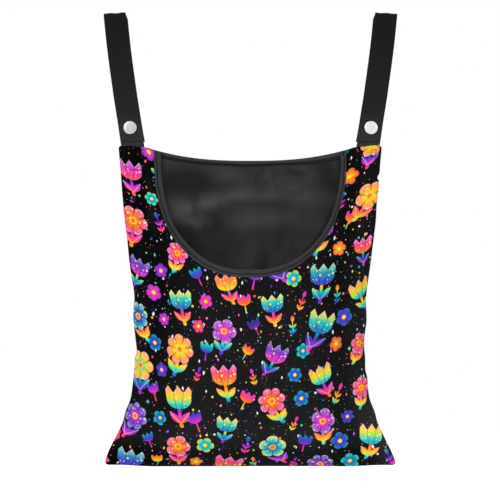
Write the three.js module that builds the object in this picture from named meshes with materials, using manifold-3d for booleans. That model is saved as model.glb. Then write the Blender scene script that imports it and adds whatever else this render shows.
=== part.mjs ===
// A fabric peg bag that hangs from a clothesline by two webbing straps, each closed with a press stud.
//
// The bag is a flat-cut front and back sewn down both sides and along the bottom. A deep rounded mouth is
// cut into the front between two shoulders, and tape is folded over its edge, as it is over the top of
// the back. Each shoulder holds the sewn-in end of a strap. The strap rises behind, loops over the line
// and comes down in front as a free flap, which the stud snaps to the strap just above the shoulder.
//
// Millimetres, +Z up, +X to the right as seen from the front, and the front of the bag faces -Y. The
// origin is at the top of the inside of the strap loops, halfway between them, where the line bears.

import * as THREE from "three";
import { mergeVertices } from "three/addons/utils/BufferGeometryUtils.js";
import Module from "manifold-3d";

// The bag's outline, seen from the front.
const bagHeight = 353; // from the shoulders down to the bottom seam
const shoulderHalfWidth = 146; // at the top of the side seams
const waistHalfWidth = 126.6; // where the full belly draws the sides in
const bottomHalfWidth = 161.5; // at the bottom seam, which stays at the flat-cut width
const frontDepth = 54; // how far the belly of the front stands forward of the seams
const backDepth = 38; // how far the belly of the back stands behind them

// The mouth: the cut edge of the front, and the top edge of the back behind it.
const mouthHalfWidth = 99.4;
const mouthDepth = 136.4;
const mouthSquareness = 2.35; // 2 is an ellipse, and more is squarer
const topDipHalfWidth = 116; // how far from the middle the top edge starts to dip
const topDip = 14.3; // how far the middle of the back hangs below the shoulders
const topDipFlatness = 2.7; // 2 is a parabola, and more is flatter in the middle
const dipReach = 60; // how far down the front is drawn along where its top edge slopes to the mouth

// Cloth.
const printedCloth = 0.9; // thickness of the printed cloth
const liningCloth = 0.5; // thickness of the lining
const tape = 0.6; // thickness of the folded tape
const mouthTapeWidth = 7.7; // how far the tape reaches over the cloth
const topTapeWidth = 6;
const liningInset = 5; // how far the lining stops short of the side and bottom seams
const seamRamp = 6; // how far from a seam the two sides reach their full distance apart

// The straps.
const webbingWidth = 25;
const webbing = 1.3; // thickness
const strapRise = 149.2; // from the shoulders up to the inside of the loop's top
const strapFootX = 130.5; // middle of the strap at the shoulder
const strapTopX = 148.8; // middle of the strap at its top
const strapBow = 1.6; // how far the middle of the strap bows outwards
const loopRadius = 5; // of the webbing's mid-line over the line
const tailLength = 25; // the end that is sewn into the shoulder
const flapEndHeight = 7.2; // the flap's free end, above the shoulders

// The press studs.
const studHeight = 22.5; // above the shoulders
const capRadius = 7.5;
const capRise = 2.3;
const capRim = 0.6; // height of the cap's rolled rim
const socketRadius = 6.2;
const socketHeight = 2.4;
const socketWall = 0.7;
const studRadius = 3; // the head that the socket grips
const studNeckRadius = 2.6;
const studRise = 1.65; // from the stud's flange to the end of its head
const studFlangeRadius = 5.6;
const rivetFlangeRadius = 5;
const flange = 0.5; // thickness of the stud's and rivet's flanges
const tubeRadius = 1.4; // the tubes that go through the webbing
const capTubePast = 0.9; // how far the cap's tube stands out behind its webbing

// Clearance between pieces that touch, and how far a cut runs past what it cuts.
const gap = 0.3;
const metalGap = 0.2;
const overrun = 1;

// How finely the shapes are divided.
const sideColumns = 17;
const bottomColumns = 14;
const frontColumns = 2 * sideColumns + bottomColumns;
const dipColumns = 18;
const loopSteps = 12;
const webbingStep = 12; // length of one step along the straight webbing
const endSteps = 6;
const turnSteps = 24;
const domeSteps = 4;

// The rows of each side of the bag, as shares of the way from under its tape to its inset line, and the
// columns of the back between the end of its dip and the inset line.
const frontRowShares = [0, 0.07, 0.17, 0.3, 0.44, 0.58, 0.71, 0.82, 0.91, 1];
const backRowShares = [0, 0.03, 0.08, 0.15, 0.23, 0.32, 0.41, 0.5, 0.59, 0.68, 0.77, 0.85, 0.92, 0.97, 1];
const shoulderColumnShares = [0.4, 0.75, 1];

// Half-width of the bag and depth of its belly, as shares of the sizes above, each listed against the
// height above the bottom seam as a share of bagHeight.
const waistHeightShare = 0.36;
const flareShares = [
  [0, 1],
  [0.05, 0.85],
  [0.11, 0.54],
  [0.2, 0.22],
  [waistHeightShare, 0],
];
const spreadShares = [
  [waistHeightShare, 0],
  [0.52, 0.1],
  [0.65, 0.38],
  [0.77, 0.66],
  [0.91, 0.84],
  [1, 1],
];
const frontDepthShares = [
  [0, 0],
  [0.04, 0.27],
  [0.1, 0.55],
  [0.2, 0.84],
  [0.34, 1],
  [0.5, 0.98],
  [0.62, 0.88],
  [0.76, 0.6],
  [0.9, 0.25],
  [1, 0.04],
];
const backDepthShares = [
  [0, 0],
  [0.04, 0.27],
  [0.1, 0.54],
  [0.2, 0.83],
  [0.36, 1],
  [0.55, 0.97],
  [0.75, 0.85],
  [0.9, 0.7],
  [1, 0.6],
];

const wasm = await Module();
wasm.setup();

const shoulderZ = -strapRise;
const bottomZ = shoulderZ - bagHeight;
const liningDepth = gap + liningCloth; // from the cloth's inner face to the lining's inner face
const tapeDepth = liningDepth + gap + tape; // from the cloth's inner face to the tape's inner face
const sandwich = tapeDepth + gap / 2; // room on each side of the seam plane

// A smooth curve through a table of [place, value] pairs, as a function of the place.
function smoothThrough(pairs) {
  const slopes = pairs.map((pair, i) => {
    const before = pairs[Math.max(i - 1, 0)];
    const after = pairs[Math.min(i + 1, pairs.length - 1)];
    return (after[1] - before[1]) / (after[0] - before[0]);
  });
  return (place) => {
    const at = THREE.MathUtils.clamp(place, pairs[0][0], pairs[pairs.length - 1][0]);
    let i = 0;
    while (i < pairs.length - 2 && at > pairs[i + 1][0]) i += 1;
    const span = pairs[i + 1][0] - pairs[i][0];
    const t = (at - pairs[i][0]) / span;
    const ease = 3 * t ** 2 - 2 * t ** 3;
    const level = THREE.MathUtils.lerp(pairs[i][1], pairs[i + 1][1], ease);
    return level + span * (slopes[i] * (t ** 3 - 2 * t ** 2 + t) + slopes[i + 1] * (t ** 3 - t ** 2));
  };
}

const flare = smoothThrough(flareShares);
const spread = smoothThrough(spreadShares);
const frontProfile = smoothThrough(frontDepthShares);
const backProfile = smoothThrough(backDepthShares);

const heightOf = (z) => (z - bottomZ) / bagHeight; // 0 at the bottom seam, 1 at the shoulders
const zOf = (height) => bottomZ + height * bagHeight;

function halfWidth(height) {
  if (height < waistHeightShare)
    return waistHalfWidth + (bottomHalfWidth - waistHalfWidth) * flare(height);
  return waistHalfWidth + (shoulderHalfWidth - waistHalfWidth) * spread(height);
}

// The belly's shape across the bag: full in the middle and nothing at the seams. Beside the mouth the
// flat part at each side widens with the height, until it is as wide as the shoulder.
function bellyShape(across, height) {
  const shoulderShare = mouthHalfWidth / shoulderHalfWidth;
  const flatten = THREE.MathUtils.smoothstep(height, 1 - mouthDepth / bagHeight, 1);
  const edge = THREE.MathUtils.lerp(1, shoulderShare, flatten);
  const inside = Math.max(0, 1 - (across / edge) ** 2);
  return inside ** (1 + flatten / 2);
}

// Near a seam the two sides of the bag close on each other.
function seamClosing(across, height) {
  const near = (distance) => 1 - (1 - THREE.MathUtils.clamp(distance / seamRamp, 0, 1)) ** 2;
  return near((1 - Math.abs(across)) * halfWidth(height)) * near(height * bagHeight);
}

// How far the inner face of the front (side -1) or back (side 1) lies from the seam plane at x, z.
function bulge(side, x, z) {
  const height = THREE.MathUtils.clamp(heightOf(z), 0, 1);
  const across = THREE.MathUtils.clamp(x / halfWidth(height), -1, 1);
  const depth = side < 0 ? frontDepth * frontProfile(height) : backDepth * backProfile(height);
  return depth * bellyShape(across, height) + sandwich * seamClosing(across, height);
}

// How much longer a step through the cloth is along Y than square to the cloth.
function slant(side, x, z) {
  const towardMiddleX = x - Math.sign(x) * gap;
  const towardMiddleZ = z + gap * Math.sign(zOf(waistHeightShare) - z);
  const here = bulge(side, x, z);
  const slopeX = (here - bulge(side, towardMiddleX, z)) / gap;
  const slopeZ = (here - bulge(side, x, towardMiddleZ)) / gap;
  return Math.hypot(1, slopeX, slopeZ);
}

// How far the top edge hangs below the shoulders at x.
function topDrop(x) {
  return topDip * Math.max(0, 1 - Math.abs(x / topDipHalfWidth) ** topDipFlatness);
}

// Between its shoulders and the mouth the front slopes down in line with the top edge of the back.
function frontDrop(x, z) {
  const below = THREE.MathUtils.clamp((shoulderZ - z) / dipReach, 0, 1);
  return topDrop(x) * (1 - below) ** 2;
}

// A point of the bag at x, z. Its level is measured square to the cloth from the cloth's inner face, and
// is more than 0 towards the inside of the bag.
function bagPoint(side, [x, z], level) {
  const y = side * (gap / 2 + bulge(side, x, z) - level * slant(side, x, z));
  return new THREE.Vector3(x, y, side < 0 ? z - frontDrop(x, z) : z);
}

// The front is laid out in columns that run from the mouth's edge out to the side and bottom seams.
// Column 0 is the top of the right shoulder, the middle column goes straight down, and the last one is
// the top of the left shoulder. A spot is a place [x, z], and into is measured from the mouth's edge.
function nearMouth(column, into) {
  const angle = (Math.PI * column) / frontColumns;
  const shareX = Math.sign(Math.cos(angle)) * Math.abs(Math.cos(angle)) ** (2 / mouthSquareness);
  const shareZ = Math.sin(angle) ** (2 / mouthSquareness);
  const outward = new THREE.Vector2(
    (Math.sign(shareX) * Math.abs(shareX) ** (mouthSquareness - 1)) / mouthHalfWidth,
    -(shareZ ** (mouthSquareness - 1)) / mouthDepth,
  ).normalize();
  return [mouthHalfWidth * shareX + outward.x * into, shoulderZ - mouthDepth * shareZ + outward.y * into];
}

// The spot where a column ends, at an inset from the side or bottom seam.
function nearSeam(column, inset) {
  const low = inset / bagHeight;
  const fromEnd = Math.min(column, frontColumns - column);
  const side = Math.sign(frontColumns / 2 - column);
  if (fromEnd < sideColumns) {
    const height = THREE.MathUtils.lerp(1, low, fromEnd / sideColumns);
    return [side * (halfWidth(height) - inset), zOf(height)];
  }
  const fromMiddle = (frontColumns / 2 - column) / (bottomColumns / 2);
  return [fromMiddle * (halfWidth(low) - inset), zOf(low)];
}

// Between the tape and the inset line a column goes evenly through the bag's width and height.
function frontSpot(column, row) {
  if (row === 0) return nearMouth(column, 0);
  if (row > frontRowShares.length) return nearSeam(column, 0);
  const from = nearMouth(column, mouthTapeWidth);
  const to = nearSeam(column, liningInset);
  const share = frontRowShares[row - 1];
  const height = THREE.MathUtils.lerp(heightOf(from[1]), heightOf(to[1]), share);
  const across = ([x, z]) => x / halfWidth(heightOf(z));
  return [THREE.MathUtils.lerp(across(from), across(to), share) * halfWidth(height), zOf(height)];
}

// The back is laid out in columns that run straight down, from its left seam to its right one. Those
// where the top edge dips have the tape on their top ends.
const insetHalfWidth = shoulderHalfWidth - liningInset;
const besideDip = shoulderColumnShares.map((share) => {
  return THREE.MathUtils.lerp(topDipHalfWidth, insetHalfWidth, share);
});
const acrossDip = Array.from({ length: dipColumns + 1 }, (_, i) => {
  return topDipHalfWidth * ((2 * i) / dipColumns - 1);
});
const backPlaces = [...besideDip.map((x) => -x).reverse(), ...acrossDip, ...besideDip];
const firstTaped = besideDip.length + 1;

function backZ(place, row) {
  if (row === 0) return shoulderZ - topDrop(place);
  if (row > backRowShares.length) return bottomZ;
  const underTape = shoulderZ - topDrop(place) - topTapeWidth;
  return THREE.MathUtils.lerp(underTape, zOf(liningInset / bagHeight), backRowShares[row - 1]);
}

function backSpot(column, row) {
  const place = backPlaces[THREE.MathUtils.clamp(column - 1, 0, backPlaces.length - 1)];
  const z = backZ(place, row);
  const reach = halfWidth(heightOf(z));
  if (column === 0 || column > backPlaces.length) return [Math.sign(place) * reach, z];
  return [(place / insetHalfWidth) * (reach - liningInset), z];
}

// A closed mesh from points and triangles, turned so that its faces point out.
function solidGeometry(points, triangles) {
  const volume = triangles.reduce((sum, [a, b, c]) => {
    return sum + points[a].dot(new THREE.Vector3().crossVectors(points[b], points[c]));
  }, 0);
  const index = triangles.flatMap(([a, b, c]) => (volume < 0 ? [a, c, b] : [a, b, c]));
  const geometry = new THREE.BufferGeometry().setFromPoints(points);
  geometry.setIndex(index);
  return geometry;
}

// A sheet of cloth, where place(column, row, face) gives the points of its faces 0 and 1.
function sheetGeometry(firstColumn, lastColumn, lastRow, place) {
  const columns = lastColumn - firstColumn;
  const points = [];
  const triangles = [];
  const index = (column, row, face) => (face * (lastRow + 1) + row) * (columns + 1) + column;
  const quad = (a, b, c, d) => triangles.push([a, b, c], [a, c, d]);
  for (const face of [0, 1])
    for (let row = 0; row <= lastRow; row += 1)
      for (let column = 0; column <= columns; column += 1)
        points.push(place(firstColumn + column, row, face));
  for (let row = 0; row < lastRow; row += 1)
    for (let column = 0; column < columns; column += 1) {
      const right = column + 1;
      const below = row + 1;
      quad(index(column, row, 0), index(right, row, 0), index(right, below, 0), index(column, below, 0));
      triangles.push([index(column, row, 1), index(right, below, 1), index(right, row, 1)]);
      triangles.push([index(column, row, 1), index(column, below, 1), index(right, below, 1)]);
    }
  const rim = [
    ...Array.from({ length: columns }, (_, i) => [i, 0]),
    ...Array.from({ length: lastRow }, (_, i) => [columns, i]),
    ...Array.from({ length: columns }, (_, i) => [columns - i, lastRow]),
    ...Array.from({ length: lastRow }, (_, i) => [0, lastRow - i]),
  ];
  rim.forEach((here, i) => {
    const next = rim[(i + 1) % rim.length];
    quad(index(...next, 0), index(...here, 0), index(...here, 1), index(...next, 1));
  });
  return solidGeometry(points, triangles);
}

// A closed outline carried along a line of sections, with flat ends, where place(section, corner) gives
// each of its points.
function sweptGeometry(corners, firstSection, lastSection, place) {
  const outline = THREE.ShapeUtils.isClockWise(corners) ? [...corners].reverse() : corners;
  const points = [];
  const triangles = [];
  const count = outline.length;
  for (let section = firstSection; section <= lastSection; section += 1)
    for (const corner of outline) points.push(place(section, corner));
  const last = points.length - count;
  for (let start = 0; start < last; start += count)
    for (let i = 0; i < count; i += 1) {
      const a = start + i;
      const b = start + ((i + 1) % count);
      triangles.push([a, b, b + count], [a, b + count, a + count]);
    }
  for (const [a, b, c] of THREE.ShapeUtils.triangulateShape(outline, []))
    triangles.push([c, b, a], [last + a, last + b, last + c]);
  return solidGeometry(points, triangles);
}

// One layer of the front or back, between two levels. The lining stops at the inset line.
const clothLevels = [-printedCloth, 0];
const liningLevels = [gap, liningDepth];

function frontGeometry(levels, leftOut) {
  const lastRow = frontRowShares.length + 1 - leftOut;
  return sheetGeometry(0, frontColumns, lastRow, (column, row, face) => {
    return bagPoint(-1, frontSpot(column, row), levels[face]);
  });
}

function backGeometry(levels, leftOut) {
  const lastColumn = backPlaces.length + 1 - leftOut;
  const lastRow = backRowShares.length + 1 - leftOut;
  return sheetGeometry(leftOut, lastColumn, lastRow, (column, row, face) => {
    return bagPoint(1, backSpot(column, row), levels[face]);
  });
}

// Tape folded over a cut edge: a channel whose two legs lie on the cloth and on the lining. Each corner
// of its outline is written as how far into the cloth it lies, and its level.
function tapeOutline(width) {
  const outerFace = -(printedCloth + gap);
  const innerFace = liningDepth + gap;
  const fold = -(gap + tape);
  const bend = tape / 2;
  const corners = [
    [fold, outerFace - bend],
    [fold + bend, outerFace - tape],
    [width, outerFace - tape],
    [width, outerFace],
    [-gap, outerFace],
    [-gap, innerFace],
    [width, innerFace],
    [width, innerFace + tape],
    [fold + bend, innerFace + tape],
    [fold, innerFace + bend],
  ];
  return corners.map(([into, level]) => new THREE.Vector2(into, level));
}

function mouthTapeGeometry() {
  return sweptGeometry(tapeOutline(mouthTapeWidth), 0, frontColumns, (column, corner) => {
    return bagPoint(-1, nearMouth(column, corner.x), corner.y);
  });
}

function topTapeGeometry() {
  const lastTaped = firstTaped + dipColumns;
  return sweptGeometry(tapeOutline(topTapeWidth), firstTaped, lastTaped, (column, corner) => {
    const under = backSpot(column, 1);
    const spot = backSpot(column, 0).map((value, i) => {
      return THREE.MathUtils.lerp(value, under[i], corner.x / topTapeWidth);
    });
    return bagPoint(1, spot, corner.y);
  });
}

// Where the middle of a strap lies, at a height above the shoulders, and how far it reaches sideways.
const strapLean = (strapTopX - strapFootX) / strapRise;
const strapHalfWidth = (webbingWidth / 2) * Math.hypot(1, strapLean);

function strapX(height) {
  const share = THREE.MathUtils.clamp(height / strapRise, 0, 1);
  return strapFootX + strapLean * height + 4 * strapBow * share * (1 - share);
}

// The outline of webbing seen edge on, along a path of y, z points, with round ends.
function webbingOutline(path) {
  const last = path.length - 1;
  const beside = (i, turn) => {
    const ahead = path[Math.min(i + 1, last)].clone().sub(path[Math.max(i - 1, 0)]);
    const angle = ahead.angle() + turn;
    return point(Math.cos(angle), Math.sin(angle)).multiplyScalar(webbing / 2).add(path[i]);
  };
  const turns = Array.from({ length: endSteps + 1 }, (_, i) => Math.PI / 2 - (Math.PI * i) / endSteps);
  const between = path.slice(1, -1).map((_, i) => i + 1);
  return [
    ...turns.map((turn) => beside(last, turn)),
    ...[...between].reverse().map((i) => beside(i, -Math.PI / 2)),
    ...turns.map((turn) => beside(0, turn + Math.PI)),
    ...between.map((i) => beside(i, Math.PI / 2)),
  ];
}

// Webbing with that path, leaning as the strap on that side of the bag does.
function webbingGeometry(hand, path) {
  return sweptGeometry(webbingOutline(path), 0, 1, (section, corner) => {
    const x = strapX(corner.y - shoulderZ) + (2 * section - 1) * strapHalfWidth;
    return new THREE.Vector3(hand * x, corner.x, corner.y);
  });
}

// Points along a straight stretch of webbing.
function straight(from, to) {
  const steps = Math.ceil(from.distanceTo(to) / webbingStep);
  return Array.from({ length: steps + 1 }, (_, i) => from.clone().lerp(to, i / steps));
}

// A mesh as a manifold solid, and back.
function toManifold(geometry) {
  const bare = geometry.clone();
  bare.deleteAttribute("normal");
  bare.deleteAttribute("uv");
  const merged = mergeVertices(bare);
  const vertProperties = merged.attributes.position.array;
  const triVerts = new Uint32Array(merged.index.array);
  return new wasm.Manifold(new wasm.Mesh({ numProp: 3, vertProperties, triVerts }));
}

function toGeometry(solid) {
  const mesh = solid.getMesh();
  const geometry = new THREE.BufferGeometry();
  geometry.setAttribute("position", new THREE.BufferAttribute(mesh.vertProperties, 3));
  geometry.setIndex(new THREE.BufferAttribute(mesh.triVerts, 1));
  return geometry;
}

// Webbing with the hole that the press stud's tube goes through.
function pierced(geometry, hand) {
  const length = 2 * (loopRadius + webbing + overrun);
  const hole = new THREE.CylinderGeometry(tubeRadius + gap, tubeRadius + gap, length, turnSteps);
  hole.translate(hand * strapX(studHeight), 0, shoulderZ + studHeight);
  return toGeometry(toManifold(geometry).subtract(toManifold(hole)));
}

// A round piece of a press stud: an outline of radius and y, turned about the stud's axis.
function turnedGeometry(hand, corners) {
  const outline = corners.map(([radius, y]) => new THREE.Vector2(radius, y));
  if (THREE.ShapeUtils.isClockWise(outline)) outline.reverse();
  const geometry = new THREE.LatheGeometry(outline, turnSteps);
  geometry.translate(hand * strapX(studHeight), 0, shoulderZ + studHeight);
  return toGeometry(toManifold(geometry));
}

// Levels of the stud's pieces along Y, worked out from the two layers of webbing that it joins.
const flapY = -loopRadius;
const capSeat = flapY - webbing / 2 - metalGap;
const capTubeEnd = flapY + webbing / 2 + capTubePast;
const socketSeat = flapY + webbing / 2 + metalGap;
const socketMouth = socketSeat + socketHeight;
const studSeat = -webbing / 2 - metalGap;
const studFace = studSeat - flange;
const studEnd = studFace - studRise;
const rivetSeat = webbing / 2 + metalGap;

function capGeometry(hand) {
  const dome = Array.from({ length: domeSteps + 1 }, (_, i) => {
    const angle = (Math.PI / 2) * (i / domeSteps);
    return [capRadius * Math.cos(angle), capSeat - capRim - (capRise - capRim) * Math.sin(angle)];
  });
  return turnedGeometry(hand, [
    [0, capTubeEnd],
    [tubeRadius, capTubeEnd],
    [tubeRadius, capSeat],
    [capRadius - capRim, capSeat],
    ...dome.slice(0, -1),
    [0, capSeat - capRise],
  ]);
}

function socketGeometry(hand) {
  const bore = studRadius + metalGap;
  const hole = tubeRadius + gap;
  return turnedGeometry(hand, [
    [hole, socketSeat],
    [socketRadius - socketWall, socketSeat],
    [socketRadius, socketSeat + socketWall],
    [socketRadius, socketMouth - socketWall],
    [socketRadius - socketWall, socketMouth],
    [bore, socketMouth],
    [bore, socketSeat + flange],
    [hole, socketSeat + flange],
    [hole, socketSeat],
  ]);
}

function studGeometry(hand) {
  const chamfer = studRadius - studNeckRadius;
  const hole = tubeRadius + gap;
  return turnedGeometry(hand, [
    [0, studEnd + flange],
    [hole, studEnd + flange],
    [hole, studSeat],
    [studFlangeRadius, studSeat],
    [studFlangeRadius, studFace],
    [studNeckRadius, studFace],
    [studNeckRadius, studFace - chamfer],
    [studRadius, studFace - 2 * chamfer],
    [studRadius, studEnd + chamfer],
    [studNeckRadius, studEnd],
    [0, studEnd],
  ]);
}

function rivetGeometry(hand) {
  const tubeEnd = studEnd + flange + gap;
  return turnedGeometry(hand, [
    [0, rivetSeat + flange],
    [rivetFlangeRadius - flange, rivetSeat + flange],
    [rivetFlangeRadius, rivetSeat],
    [tubeRadius, rivetSeat],
    [tubeRadius, tubeEnd],
    [0, tubeEnd],
  ]);
}

// The webbing's paths seen edge on. The tail ends in the shoulder seam, where it and the strap's foot
// swing on each other. The strap stands straight behind the stud, leans back to the loop and ends in
// front of it, where the flap hangs from the fold.
const point = (y, z) => new THREE.Vector2(y, z);
const loopZ = webbing / 2 - loopRadius;
const tailEnd = point(0, shoulderZ - tailLength);
const tailTop = point(0, shoulderZ);
const strapFoot = point(0, shoulderZ + webbing + gap);
const straightEnd = point(0, shoulderZ + studHeight + capRadius);
const loopStart = point(loopRadius, loopZ);
const flapTop = point(flapY, loopZ - webbing - gap);
const flapEnd = point(flapY, shoulderZ + flapEndHeight + webbing / 2);

function strapPath() {
  const loop = Array.from({ length: loopSteps }, (_, i) => {
    const angle = (Math.PI * (i + 1)) / loopSteps;
    return point(loopRadius * Math.cos(angle), loopZ + loopRadius * Math.sin(angle));
  });
  return [...straight(strapFoot, straightEnd), ...straight(straightEnd, loopStart).slice(1), ...loop];
}

function finish(color, roughness, metalness) {
  return new THREE.MeshStandardMaterial({ color, roughness, metalness });
}

const printedFinish = finish("#1b1420", 0.8, 0);
const liningFinish = finish("#242426", 0.55, 0);
const tapeFinish = finish("#2f2f31", 0.75, 0);
const webbingFinish = finish("#222223", 0.85, 0);
const steelFinish = finish("#d8d9db", 0.3, 1);

function piece(name, geometry, material) {
  const mesh = new THREE.Mesh(geometry, material);
  mesh.name = name;
  return mesh;
}

const bag = new THREE.Group();
bag.add(
  piece("front_panel", frontGeometry(clothLevels, 0), printedFinish),
  piece("front_lining", frontGeometry(liningLevels, 1), liningFinish),
  piece("back_panel", backGeometry(clothLevels, 0), printedFinish),
  piece("back_lining", backGeometry(liningLevels, 1), liningFinish),
  piece("mouth_binding", mouthTapeGeometry(), tapeFinish),
  piece("top_binding", topTapeGeometry(), tapeFinish),
);

const straps = new THREE.Group();
const hands = [
  ["left", -1],
  ["right", 1],
];
for (const [word, hand] of hands) {
  const tail = webbingGeometry(hand, straight(tailTop, tailEnd));
  const strap = pierced(webbingGeometry(hand, strapPath()), hand);
  const flap = pierced(webbingGeometry(hand, straight(flapTop, flapEnd)), hand);
  bag.add(piece(`strap_tail_${word}`, tail, webbingFinish));
  straps.add(
    piece(`strap_${word}`, strap, webbingFinish),
    piece(`stud_${word}`, studGeometry(hand), steelFinish),
    piece(`stud_rivet_${word}`, rivetGeometry(hand), steelFinish),
    piece(`flap_${word}`, flap, webbingFinish),
    piece(`snap_cap_${word}`, capGeometry(hand), steelFinish),
    piece(`snap_socket_${word}`, socketGeometry(hand), steelFinish),
  );
}

const pegBag = new THREE.Group();
pegBag.add(bag, straps);

export default pegBag;
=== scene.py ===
"""A fabric peg bag as it hangs from a clothesline: printed cloth outside, a dark lining, a deep mouth bound
with tape, and two webbing straps that close over the line with press studs.

Everything is in metres in the frame of the CAD model: +X to the right, +Z up, and the front faces -Y.
"""

import math
from functools import partialmethod

import bpy
import numpy as np
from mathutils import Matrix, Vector


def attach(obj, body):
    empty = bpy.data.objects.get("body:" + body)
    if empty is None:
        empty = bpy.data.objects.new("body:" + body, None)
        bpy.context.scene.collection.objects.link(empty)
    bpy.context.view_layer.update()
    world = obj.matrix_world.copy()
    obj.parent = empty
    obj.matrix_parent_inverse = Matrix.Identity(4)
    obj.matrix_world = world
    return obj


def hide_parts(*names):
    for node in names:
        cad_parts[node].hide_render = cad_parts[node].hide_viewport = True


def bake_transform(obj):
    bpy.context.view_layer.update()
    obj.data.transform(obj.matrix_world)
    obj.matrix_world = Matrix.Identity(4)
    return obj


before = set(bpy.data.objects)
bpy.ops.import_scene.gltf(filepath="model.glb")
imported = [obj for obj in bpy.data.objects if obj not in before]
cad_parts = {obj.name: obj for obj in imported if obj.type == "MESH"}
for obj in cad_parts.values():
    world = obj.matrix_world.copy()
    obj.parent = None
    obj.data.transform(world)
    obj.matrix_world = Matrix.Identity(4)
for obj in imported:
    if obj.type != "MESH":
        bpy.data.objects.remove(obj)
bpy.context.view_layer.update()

MM = 0.001
FRONT, BACK = -1, 1  # the two sides of the bag, by the sign of y
HANDS = (("left", -1), ("right", 1))

# The bag's sizes, as in the CAD model

BAG_HEIGHT = 0.353
SHOULDER_HALF = 0.146  # half-widths at the shoulders, the waist and the bottom seam
WAIST_HALF = 0.1266
BOTTOM_HALF = 0.1615
WAIST_SHARE = 0.36  # height of the waist
DEPTH = {FRONT: 0.054, BACK: 0.038}  # how far each side bellies out
MOUTH_HALF = 0.0994
MOUTH_DEPTH = 0.1364
MOUTH_SQUARENESS = 2.35  # 2 is an ellipse, and more is squarer
DIP_HALF = 0.116  # the top edge hangs down between the straps
DIP = 0.0143
DIP_FLATNESS = 2.7
DIP_REACH = 0.06  # how far down the front is drawn along by it
CLOTH = 0.0009  # thicknesses
LINING = 0.0005
TAPE = 0.0006
WEBBING = 0.0013
GAP = 0.0003
WEBBING_WIDTH = 0.025
STRAP_RISE = 0.1492
STRAP_FOOT_X = 0.1305
STRAP_TOP_X = 0.1488
STRAP_BOW = 0.0016
LOOP_RADIUS = 0.005
TAIL_LENGTH = 0.025
FLAP_END_HEIGHT = 0.0072
STUD_HEIGHT = 0.0225

SHOULDER_Z = -STRAP_RISE
BOTTOM_Z = SHOULDER_Z - BAG_HEIGHT
LINING_DEPTH = GAP + LINING
SANDWICH = LINING_DEPTH + GAP + TAPE + GAP / 2

# How the cloth ends at its seams

SEAM_RAMP = 0.006  # how far from a seam there is full room for the layers
SEAM_ROLL = 0.0022  # how far from a seam the cloth rolls over to it
TOP_ROLL = 0.003  # and from the top of a shoulder
CORNER_RADIUS = 0.0045  # of the bottom corners
TOP_CORNER = 0.0032  # radius of the shoulders' outer corners
CORNER_LIFTS = (0.0014, 0.0021)  # how far the left and the right one are drawn up
CORNER_RISE = (0.119, 0.142)  # from where to where they rise, from the middle of the bag
TAPE_END_LIFT = 0.0011  # how far the shoulders are drawn up beside the ends of the hem
TAPE_END_RISE = (0.1145, 0.1185)
BOTTOM_SAG = 0.0018  # how far the middle of the bottom hangs down
BOTTOM_RISE = (0.105, 0.15)
CORNER_SWAY, BOTTOM_SWAY, EDGE_SWAY = -0.0035, 0.0013, 0.0012  # how far the seams hang out of a plane
OUTER_TOP = 0.0015  # how far from the seam plane the cloth's outer face ends at the top of a shoulder
INNER_TOP = 0.00078  # and its inner face there
INNER_EDGE = -0.00006  # and its inner face at the seams
EDGE_INSET = 0.0008  # the inner face stops short of the seam, which leaves the groove between the sides
LINING_INSET = 0.005  # where the CAD model's lining stops
LINING_EDGE = 0.0012  # how far from the seam the lining is sewn in


def smooth_through(pairs):
    """A smooth curve through [place, value] pairs, as a function of the place."""
    places, values = np.array(pairs, float).T
    index = np.arange(len(places))
    before, after = np.maximum(index - 1, 0), np.minimum(index + 1, len(places) - 1)
    slopes = (values[after] - values[before]) / (places[after] - places[before])

    def curve(place):
        at = np.clip(place, places[0], places[-1])
        i = np.clip(np.searchsorted(places, at) - 1, 0, len(places) - 2)
        span = places[i + 1] - places[i]
        t = (at - places[i]) / span
        level = values[i] + (values[i + 1] - values[i]) * (3 * t**2 - 2 * t**3)
        return level + span * (slopes[i] * (t**3 - 2 * t**2 + t) + slopes[i + 1] * (t**3 - t**2))

    return curve


# Half the width against the height, from the waist to the bottom seam and from the waist to the shoulders
flare = smooth_through([[0, 1], [0.05, 0.85], [0.11, 0.54], [0.2, 0.22], [WAIST_SHARE, 0]])
spread = smooth_through([[WAIST_SHARE, 0], [0.52, 0.1], [0.65, 0.38], [0.77, 0.66], [0.91, 0.84], [1, 1]])

# The belly's depth against the height
profile = {
    FRONT: smooth_through(
        [[0, 0], [0.04, 0.27], [0.1, 0.55], [0.2, 0.84], [0.34, 1], [0.5, 0.98], [0.62, 0.88], [0.76, 0.6],
         [0.9, 0.25], [1, 0.04]]
    ),
    BACK: smooth_through(
        [[0, 0], [0.04, 0.27], [0.1, 0.54], [0.2, 0.83], [0.36, 1], [0.55, 0.97], [0.75, 0.85], [0.9, 0.7],
         [1, 0.6]]
    ),
}

# How the left and right sewn edges wander outwards from the even outline, in millimetres, by the height
edge_wander = {
    -1: smooth_through(
        [[0, 0.6], [0.02, 0.9], [0.06, 0.1], [0.1, 0.5], [0.135, -0.1], [0.17, 1.3], [0.21, -0.4],
         [0.245, -0.3], [0.31, 0], [0.34, 0.6], [0.36, -0.5], [0.4, 0.7], [0.455, 2.4], [0.49, 2.1],
         [0.53, 0.1], [0.61, 0.9], [0.66, 0.8], [0.72, 0], [0.83, 0.6], [0.87, 0.9], [0.93, 0.8], [1, 0.4]]
    ),
    1: smooth_through(
        [[0, 1.8], [0.02, 1], [0.06, -0.2], [0.1, 0.6], [0.135, 0.2], [0.17, 1.5], [0.21, -0.3], [0.245, 0],
         [0.28, 0.6], [0.3, -0.5], [0.34, 0.9], [0.4, 0.6], [0.455, 2.5], [0.485, 1.8], [0.53, 0.7],
         [0.63, 1.1], [0.72, 0.9], [0.78, 0.9], [0.82, 0.5], [0.87, 1.3], [0.897, 1.1], [0.9075, -1.3],
         [0.918, 1], [0.95, 1], [1, 0.8]]
    ),
}


# Plain helpers

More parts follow.
